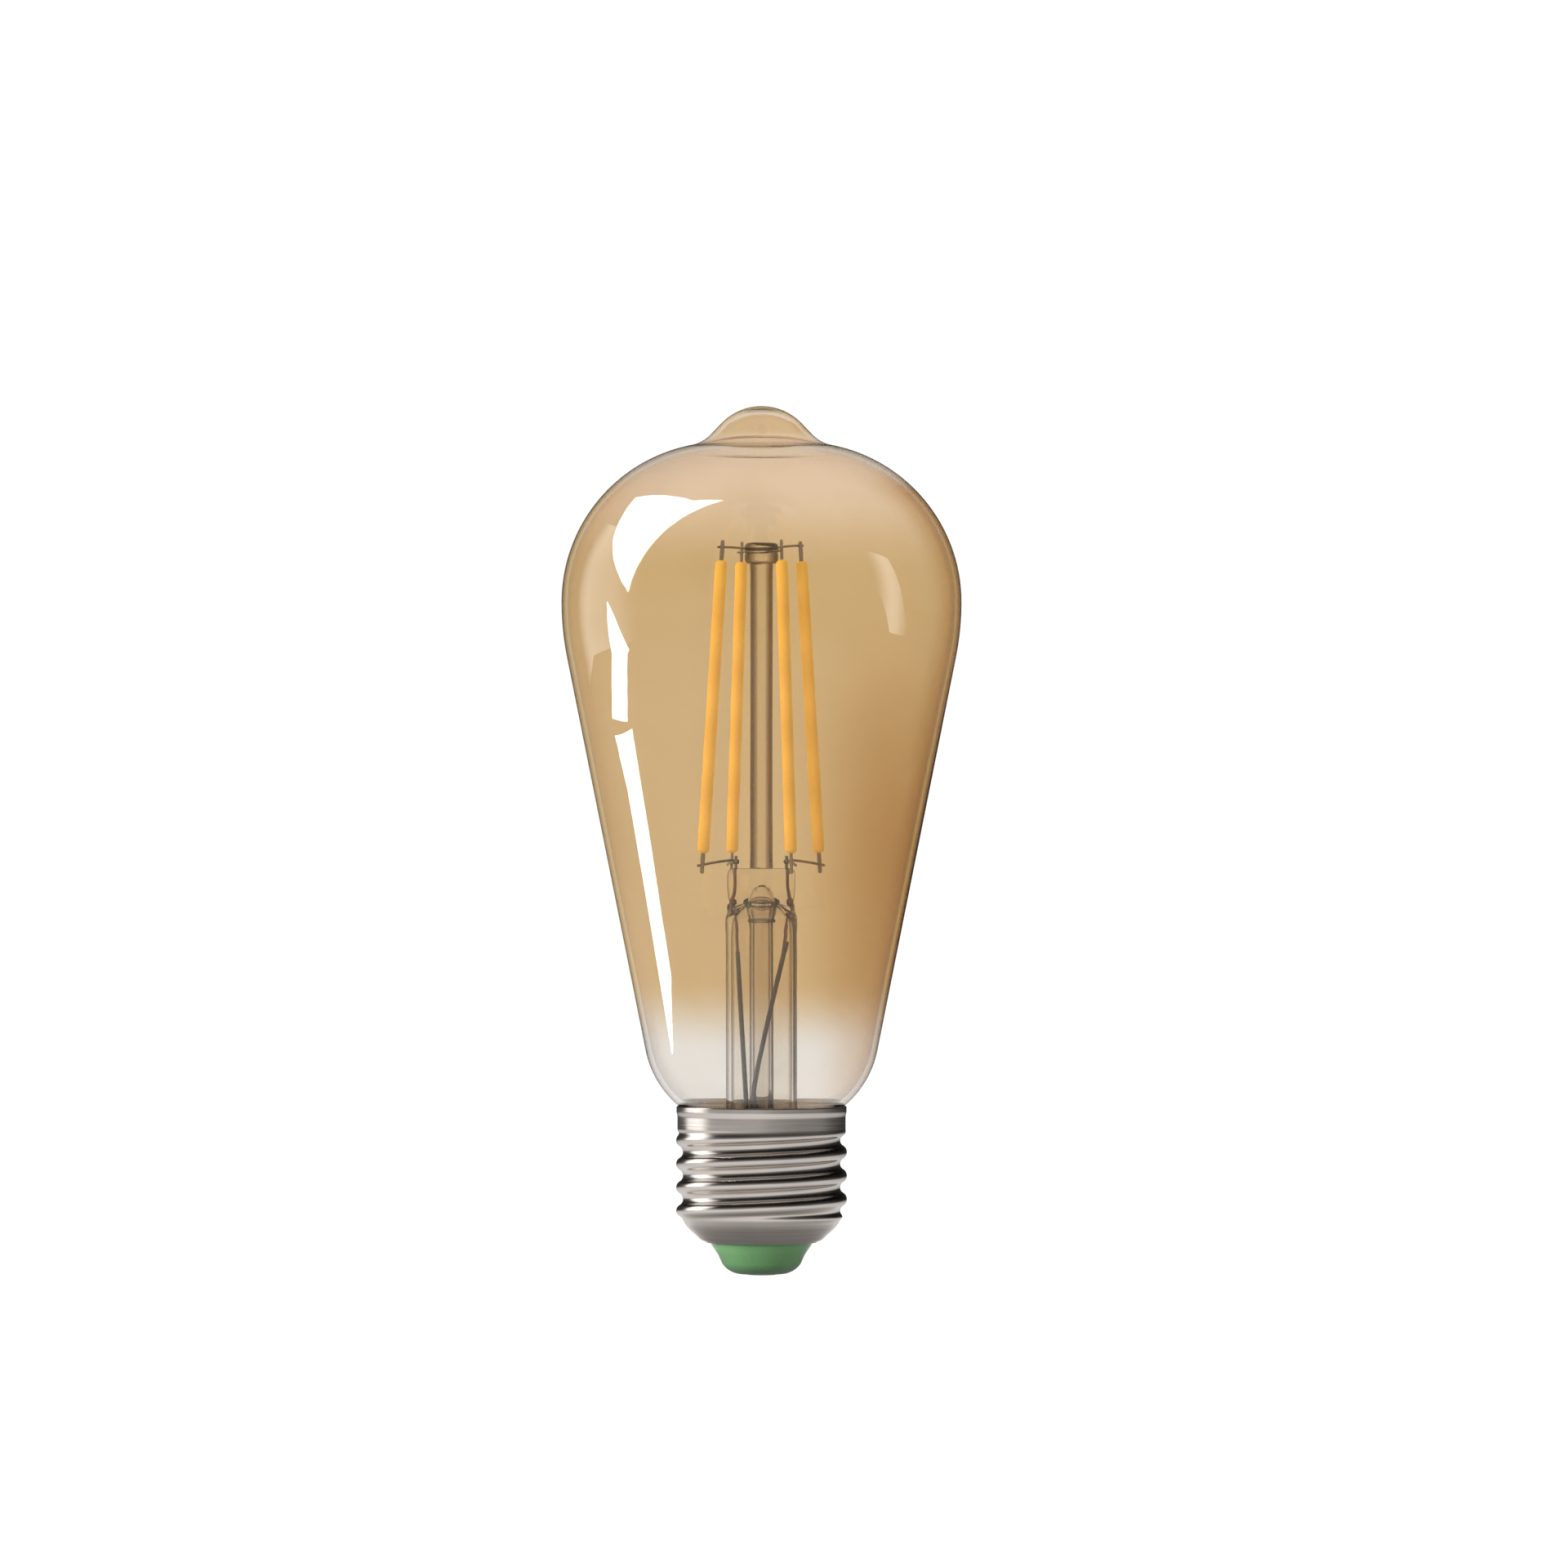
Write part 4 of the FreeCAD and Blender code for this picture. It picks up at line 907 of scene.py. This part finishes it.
def press_leads():
    """Leads above the press, with their weld beads, and the copper-clad wires inside it."""
    for side, sign in (("left", -1), ("right", 1)):
        across = sign * LEAD_OFFSET
        lead = f"inner_lead_{side}"
        route = [
            (across, 0.0, PRESS_TOP - 1.0),
            (across, 0.0, PRESS_TOP),
            (across + sign * 0.05, 0.0, PRESS_TOP + 1.0),
            (across, 0.0, span(lead)[1].z),
        ]
        drawn_wire(lead + "_drawn", lead, route, LEAD_RADIUS, "nickel_wire")
        centre, size = (across, 0.0, LEAD_WELD_HEIGHT), (0.5, 0.42, 0.42)
        melted_bead(f"lead_weld_{side}", centre, size, 3.0 + sign, "nickel_wire")
        seal = f"seal_wire_{side}"
        low, high = span(seal)
        route = [
            (across, 0.0, low.z),
            (across + sign * 0.25, 0.0, low.z + 1.6),
            (across + sign * 0.1, 0.0, low.z + 3.6),
            (across - sign * 0.1, 0.0, low.z + 5.6),
            (across, 0.0, high.z),
        ]
        drawn_wire(seal + "_clad", seal, route, SEAL_RADIUS, "copper_wire")
        centre, size = (across, 0.0, SEAL_WELD_HEIGHT), (0.42, 0.4, 0.8)
        melted_bead(f"seal_weld_{side}", centre, size, 7.0 + sign, "copper_wire")


# Chosen one by one: down between the stem's bore and the exhaust tube, then out to the board.
LEAD_ROUTES = {
    "left": [
        (-3.9, 0.0, 54.3),
        (-3.6, -0.6, 50.0),
        (-2.5, -2.0, 30.0),
        (-2.1, -2.3, 24.0),
        (-6.5, -1.5, 15.5),
        (-6.5, -1.5, 12.5),
    ],
    "right": [
        (3.9, 0.0, 54.3),
        (3.8, -1.0, 51.5),
        (-1.1, -3.3, 31.0),
        (-1.2, -3.6, 25.0),
        (6.5, -1.5, 15.5),
        (6.5, -1.5, 12.5),
    ],
}


def outer_leads():
    """Sleeved leads from the press down round the exhaust tube to the board."""
    for side, route in LEAD_ROUTES.items():
        lead, sleeve = f"outer_lead_{side}", f"lead_sleeve_{side}"
        drawn_wire(lead + "_drawn", lead, route, LEAD_RADIUS, "copper_wire")
        drawn_wire(sleeve + "_drawn", sleeve, route[1:-1], SLEEVE_RADIUS, "sleeve_plastic")


# ---- screw cap ----

PITCH, CREST, ROOT, CREST_HEIGHT = 3.629, 13.15, 12.1, 18.94
THREAD_TOP, THREAD_TOP_RUN = 22.5, 1.5
THREAD_BASE, THREAD_BASE_RUN = 8.3, 1.4
SKIRT, RIM, RIM_STEP, RIM_RUN = 12.95, 13.1, 24.4, 0.8
CONE_RADIUS, CONE_HEIGHT, CONE_WIDENING = 9.5, 5.5, 0.8
CONE_CROWN, CONE_CROWN_TOP = 0.4, 9.5
LIP_RADIUS, LIP_WIDENING, LIP_SOFTNESS = 8.2, 3.0, 0.3
CAP_WALL = 0.28


def knuckle_radius(from_crest):
    """Radius of the rolled thread at an axial distance from its crest."""
    half = PITCH / 2
    depth = CREST - ROOT
    curve = (half ** 2 + depth ** 2) / (4 * depth)
    if from_crest < half / 2:
        return CREST - curve + math.sqrt(curve ** 2 - from_crest ** 2)
    return ROOT + curve - math.sqrt(curve ** 2 - (half - from_crest) ** 2)


def shell_radius(turn, height):
    """Outer radius of the formed shell at a share of a turn from +X and a height."""
    phase = (height - CREST_HEIGHT) / PITCH - turn
    from_crest = abs(phase - round(phase)) * PITCH
    lip = LIP_RADIUS + LIP_WIDENING * (height - span("screw_shell")[0].z)
    cone = CONE_RADIUS + CONE_WIDENING * (height - CONE_HEIGHT)
    bottom = (lip + cone - math.hypot(lip - cone, LIP_SOFTNESS)) / 2
    bottom += CONE_CROWN * math.sin(math.pi * smooth_step(CONE_HEIGHT, CONE_CROWN_TOP, height))
    low = smooth_step(THREAD_BASE, THREAD_BASE + THREAD_BASE_RUN, height)
    high = smooth_step(THREAD_TOP - THREAD_TOP_RUN, THREAD_TOP, height)
    skirt = blend(SKIRT, RIM, smooth_step(RIM_STEP, RIM_STEP + RIM_RUN, height))
    return blend(blend(bottom, knuckle_radius(from_crest), low), skirt, high)


def screw_shell():
    """Thin nickel-plated shell with a right-hand rolled thread and rounded edges."""
    low, high = [corner.z for corner in span("screw_shell")]
    rows, columns, turns = 150, 144, 5
    half = CAP_WALL / 2
    wall = [blend(low + half, high - half, row / rows) for row in range(rows + 1)]
    angles = [math.pi * step / turns for step in range(1, turns)]
    edge = [(half * math.sin(angle), half * math.cos(angle)) for angle in angles]
    path = [(height, 0.0) for height in wall]
    path += [(high - half + rise, half - inset) for rise, inset in edge]
    path += [(height, CAP_WALL) for height in reversed(wall)]
    path += [(low + half - rise, half + inset) for rise, inset in edge]
    rings = []
    for height, inset in path:
        reach = min(max(height, low + half), high - half)
        section = []
        for column in range(columns):
            turn = column / columns
            radius = shell_radius(turn, reach) - inset
            angle = 2 * math.pi * turn
            section.append((radius * math.cos(angle), radius * math.sin(angle), height))
        rings.append(section)
    points, faces = skin(rings, True)
    data = smooth_mesh("screw_shell_rolled", points, faces, 60.0)
    finished(data, ["screw_shell"], "nickel_shell")


def insulator():
    """Moulded insulator with a rounded foot and a shallow seat for the contact."""
    low, high = span("insulator")
    flange, wide, foot = high.x, 7.8, 5.6
    face, rounding = 3.0, 3.7
    lip = span("screw_shell")[0].z
    profile = [
        (0.9, low.z + 0.45),
        (2.75, low.z + 0.4),
        (2.9, low.z + 0.06),
        *arc((face, low.z + rounding), rounding, -90.0, -34.0, 14),
        (blend(foot, wide, 0.5), blend(1.3, lip, 0.5)),
        (wide - 0.05, lip - 0.3),
        (wide, lip + 0.28),
        (flange - 0.15, lip + 0.8),
        (flange, lip + 0.9),
        (flange, high.z),
        (wide - 0.5, high.z),
        (foot - 0.8, 2.9),
        (0.9, 1.8),
    ]
    data = lathe("insulator_moulded", profile, 128, crease=50.0)
    finished(data, ["insulator"], "green_insulator")


def centre_contact():
    """Riveted contact plate with a soldered, slightly uneven face."""
    low, high = span("centre_contact")
    radius = high.x

    def wobble(angle, height):
        return 0.03 * math.sin(3 * angle + 0.4) if height < 0.3 else 0.0

    profile = [
        (0.0, 0.02),
        (0.7, 0.0),
        (1.6, 0.0),
        (radius - 0.45, 0.03),
        (radius - 0.15, 0.14),
        (radius - 0.04, 0.32),
        (radius - 0.1, 0.5),
        (0.9, 0.5),
        (0.9, high.z - 0.2),
        (0.7, high.z),
        (0.0, high.z),
    ]
    data = lathe("centre_contact_riveted", profile, 96, wobble, 50.0)
    finished(data, ["centre_contact"], "contact_metal")


def carried_nodes():
    """Gives every CAD node its slot's paint: those that no piece replaces are seen with it."""
    for part in frame["record"]["subparts"]:
        for holder in frame["nodes"][part["node"]].material_slots:
            holder.material = PAINTS[part["material_slot"]]


carried_nodes()
glass_bulb()
stem_glass()
press_folds()
press_knots()
exhaust_tube()
arbor_rod()
arbor_bead()
for filament in range(1, 5):
    filament_coat(filament)
    filament_tabs(filament)
top_wires()
bottom_wires()
press_leads()
outer_leads()
screw_shell()
insulator()
centre_contact()


# ---- floor, light and camera ----

# The brightness of floor and world where they are seen.
WHITE = 1.06
# The brightness that reflections meet on the floor, by metres from the lamp's axis, with a painted
# shadow round the lamp's foot, and its fall, painted shade, by metres behind the lamp and to its
# right.
FLOOR_NEAR = (
    (0.010, (0.2, 0.195, 0.19)),
    (0.018, (0.45, 0.44, 0.43)),
    (0.030, (0.88, 0.87, 0.86)),
    (0.12, (0.86, 0.85, 0.84)),
    (0.5, (0.44, 0.43, 0.42)),
)
FLOOR_BEHIND = ((0.0, 1.0), (0.1, 0.7), (0.4, 0.14))
FLOOR_RIGHT = ((0.0, 1.0), (0.05, 0.85), (0.3, 0.55))
# The brightness that reflections meet in the world, from straight down at 0 to straight up at 1,
# and its fall from the camera's side at 0 to behind the lamp at 1, and from left to right.
WORLD_BANDS = ((0.0, 0.8), (0.47, 0.78), (0.5, 0.42), (0.56, 0.3), (0.64, 0.14), (0.76, 0.02))
WORLD_WARMTH = (1.0, 0.97, 0.93)
WORLD_BEHIND = ((0.0, 1.0), (0.4, 0.9), (0.62, 0.5), (0.8, 0.14), (1.0, 0.08))
WORLD_RIGHT = ((0.0, 1.0), (0.5, 1.0), (0.75, 0.65), (1.0, 0.45))
# How far the mount's glass reflects that world, and not white, from left at 0 to right at 1.
MOUNT_RIGHT = ((0.5, 0.0), (0.53, 1.0), (0.80, 1.0), (0.86, 0.0))


def floor():
    """Large pale floor under the lamp, as white as the studio behind it."""
    half = 4000.0
    data = bpy.data.meshes.new("floor")
    corners = [(-half, -half, 0), (half, -half, 0), (half, half, 0), (-half, half, 0)]
    data.from_pydata([Vector(corner) * MM for corner in corners], [], [(0, 1, 2, 3)])
    paint = Paint("pale_floor")
    away = paint.node("ShaderNodeVectorMath", {0: paint.place}, operation="LENGTH")
    parts = paint.node("ShaderNodeSeparateXYZ", {"Vector": paint.place}).outputs
    # Painted shadow round the lamp's foot, and painted shade behind it and to its right.
    near = paint.ramp(away.outputs["Value"], *FLOOR_NEAR)
    bounced = paint.mixed(1.0, near, paint.ramp(parts["Y"], *FLOOR_BEHIND), "MULTIPLY")
    bounced = paint.mixed(1.0, bounced, paint.ramp(parts["X"], *FLOOR_RIGHT), "MULTIPLY")
    bounce = paint.node("ShaderNodeEmission", {"Color": bounced, "Strength": 1.0})
    pale = paint.ramp(paint.grain(40.0, 4.0), (0.3, (0.99, 0.99, 0.99)), (0.7, WHOLE))
    glow = paint.node("ShaderNodeEmission", {"Color": pale, "Strength": WHITE})
    right = paint.sums("DIVIDE", parts["X"], away.outputs["Value"])
    mount = paint.ramp(paint.sums("MULTIPLY_ADD", right, 0.5, 0.5), *MOUNT_RIGHT)
    paint.seen_or_lit(paint.output, glow.outputs[0], bounce.outputs[0], mount)
    paint.material.cycles.emission_sampling = "NONE"
    data.materials.append(paint.material)
    ground = placed(data)


def studio_world():
    """Plain white where it is seen, soft light all round, and a dark ceiling in reflections."""
    world = bpy.data.worlds.new("studio")
    bpy.context.scene.world = world
    world.use_nodes = True
    nodes = Nodes(world.node_tree)
    way = nodes.node("ShaderNodeTexCoord").outputs["Generated"]
    parts = nodes.node("ShaderNodeSeparateXYZ", {"Vector": way}).outputs
    right, back, up = [nodes.sums("MULTIPLY_ADD", parts[axis], 0.5, 0.5) for axis in "XYZ"]
    warm = [(place, tuple(grey * part for part in WORLD_WARMTH)) for place, grey in WORLD_BANDS]
    sky = nodes.tree.nodes["Background"]
    nodes.feed(sky.inputs["Color"], nodes.ramp(up, *warm))
    fades = nodes.ramp(back, *WORLD_BEHIND), nodes.ramp(right, *WORLD_RIGHT)
    nodes.feed(sky.inputs["Strength"], nodes.sums("MULTIPLY", *fades))
    plain = nodes.node("ShaderNodeBackground", {"Color": (1, 1, 1, 1), "Strength": WHITE})
    mount = nodes.ramp(right, *MOUNT_RIGHT)
    nodes.seen_or_lit(nodes.tree.nodes["World Output"], plain.outputs[0], sky.outputs[0], mount)


def unseen(lamp):
    """Hides a light from the camera, through glass or not."""
    lamp.visible_camera = False
    lamp.visible_transmission = False


def panel(name, aside, outline, strength, receiver=None, soft=0.0):
    """A flat glowing panel beside the lamp, clear but for its glow, with an outline in (Y, Z).
    It is seen in all reflections, or in its receiver's alone. Its ends may fade over soft."""
    data = bpy.data.meshes.new(name)
    points = [Vector((aside, along, height)) * MM for along, height in outline]
    data.from_pydata(points, [], [tuple(range(len(points)))])
    paint = Paint(name)
    tint = paint.ramp(paint.grain(60.0, 2.0), (0.2, (0.97, 0.96, 0.94)), (0.8, WHOLE))
    if soft:
        low, high = min(outline)[0], max(outline)[0]
        ends = [paint.between(paint.along("Y"), low, low + soft)]
        ends.append(paint.between(paint.along("Y"), high, high - soft))
        strength = paint.sums("MULTIPLY", paint.sums("MULTIPLY", *ends), strength)
    glow = paint.node("ShaderNodeEmission", {"Color": tint, "Strength": strength})
    clear = paint.node("ShaderNodeBsdfTransparent")
    both = paint.node("ShaderNodeAddShader", {0: glow.outputs[0], 1: clear.outputs[0]})
    paint.feed(paint.output.inputs["Surface"], both.outputs[0])
    data.materials.append(paint.material)
    lamp = placed(data)
    unseen(lamp)
    lamp.visible_shadow = False
    if receiver:
        lamp.visible_diffuse = False
        group = bpy.data.collections.new(name + "_receivers")
        group.objects.link(receiver)
        lamp.light_linking.receiver_collection = group


# A panel's distance aside, its brightness and, if its ends are soft, how far they fade.
WINDOW_ASIDE, WINDOW_STRENGTH = -120, 17.0
WINDOW_PANES = {
    "panel_low": [(-16, 12), (16, 0), (15, 49), (22, 60), (-14, 57)],
    "panel_middle": [(-3, 105), (0, 72), (21, 63), (-8, 59), (-30, 71), (-15, 94)],
    "panel_tall": [(2, 146), (-36, 113), (-48, 181), (-97, 520), (-30, 331), (75, 230), (24, 167)],
}
FAINT_ASIDE, FAINT_STRENGTH, FAINT_SOFTNESS = 160, 3.8, 36.0
FAINT_PANE = [(-81, 204), (-37, 171), (-23, 102), (-8, 75), (-47, 75), (-80, 128)]
SIDE_ASIDE, SIDE_STRENGTH, SIDE_SOFTNESS = -480, 1.9, 190.0
SIDE_PANE = [(-150, 0), (420, 0), (420, 420), (-150, 420)]


def panels():
    """Panels whose reflections are the bright shapes on the glass, and a soft one for the rest."""
    glass = bpy.data.objects["glass_bulb_envelope"]
    for name, outline in WINDOW_PANES.items():
        panel(name, WINDOW_ASIDE, outline, WINDOW_STRENGTH, glass)
    panel("panel_faint", FAINT_ASIDE, FAINT_PANE, FAINT_STRENGTH, glass, FAINT_SOFTNESS)
    panel("soft_side", SIDE_ASIDE, SIDE_PANE, SIDE_STRENGTH, soft=SIDE_SOFTNESS)


# Each soft light's place and size, in metres, and its power.
FILLS = {
    "fill_left": ((-0.9, -0.6, 0.4), 0.5, 14.0),
    "fill_right": ((0.8, -0.7, 0.4), 0.6, 3.6),
    "fill_back": ((0.1, 0.9, 0.5), 0.6, 6.0),
}


def fill_lights():
    """Soft lights for matt surfaces only, so that they leave reflections alone."""
    for name, (place, size, power) in FILLS.items():
        data = bpy.data.lights.new(name, "AREA")
        data.size = size
        data.energy = power
        lamp = placed(data)
        lamp.location = place
        lamp.rotation_euler = (-Vector(place)).to_track_quat("-Z", "Y").to_euler()
        unseen(lamp)
        lamp.visible_glossy = False


CAMERA_ASIDE, CAMERA_HEIGHT, CAMERA_DISTANCE, CAMERA_LENS = 3.46, 75.6, 1650.0, 246.0


def camera():
    """Long lens, level with the lamp's middle and straight in front of it."""
    data = bpy.data.cameras.new("camera")
    data.lens = CAMERA_LENS
    data.sensor_width = 36.0
    data.clip_start = 0.05
    data.clip_end = 20.0
    eye = placed(data)
    eye.location = Vector((CAMERA_ASIDE, -CAMERA_DISTANCE, CAMERA_HEIGHT)) * MM
    eye.rotation_euler = (degrees(90), 0, 0)
    bpy.context.scene.camera = eye


floor()
studio_world()
panels()
fill_lights()
camera()

# Enough bounces to pass every wall of glass in front of and behind the mount.
BOUNCES = 24
scene = bpy.context.scene
scene.view_settings.view_transform = "Standard"
scene.cycles.max_bounces = BOUNCES
scene.cycles.transmission_bounces = BOUNCES
scene.cycles.transparent_max_bounces = BOUNCES
scene.cycles.caustics_reflective = False
scene.cycles.caustics_refractive = False
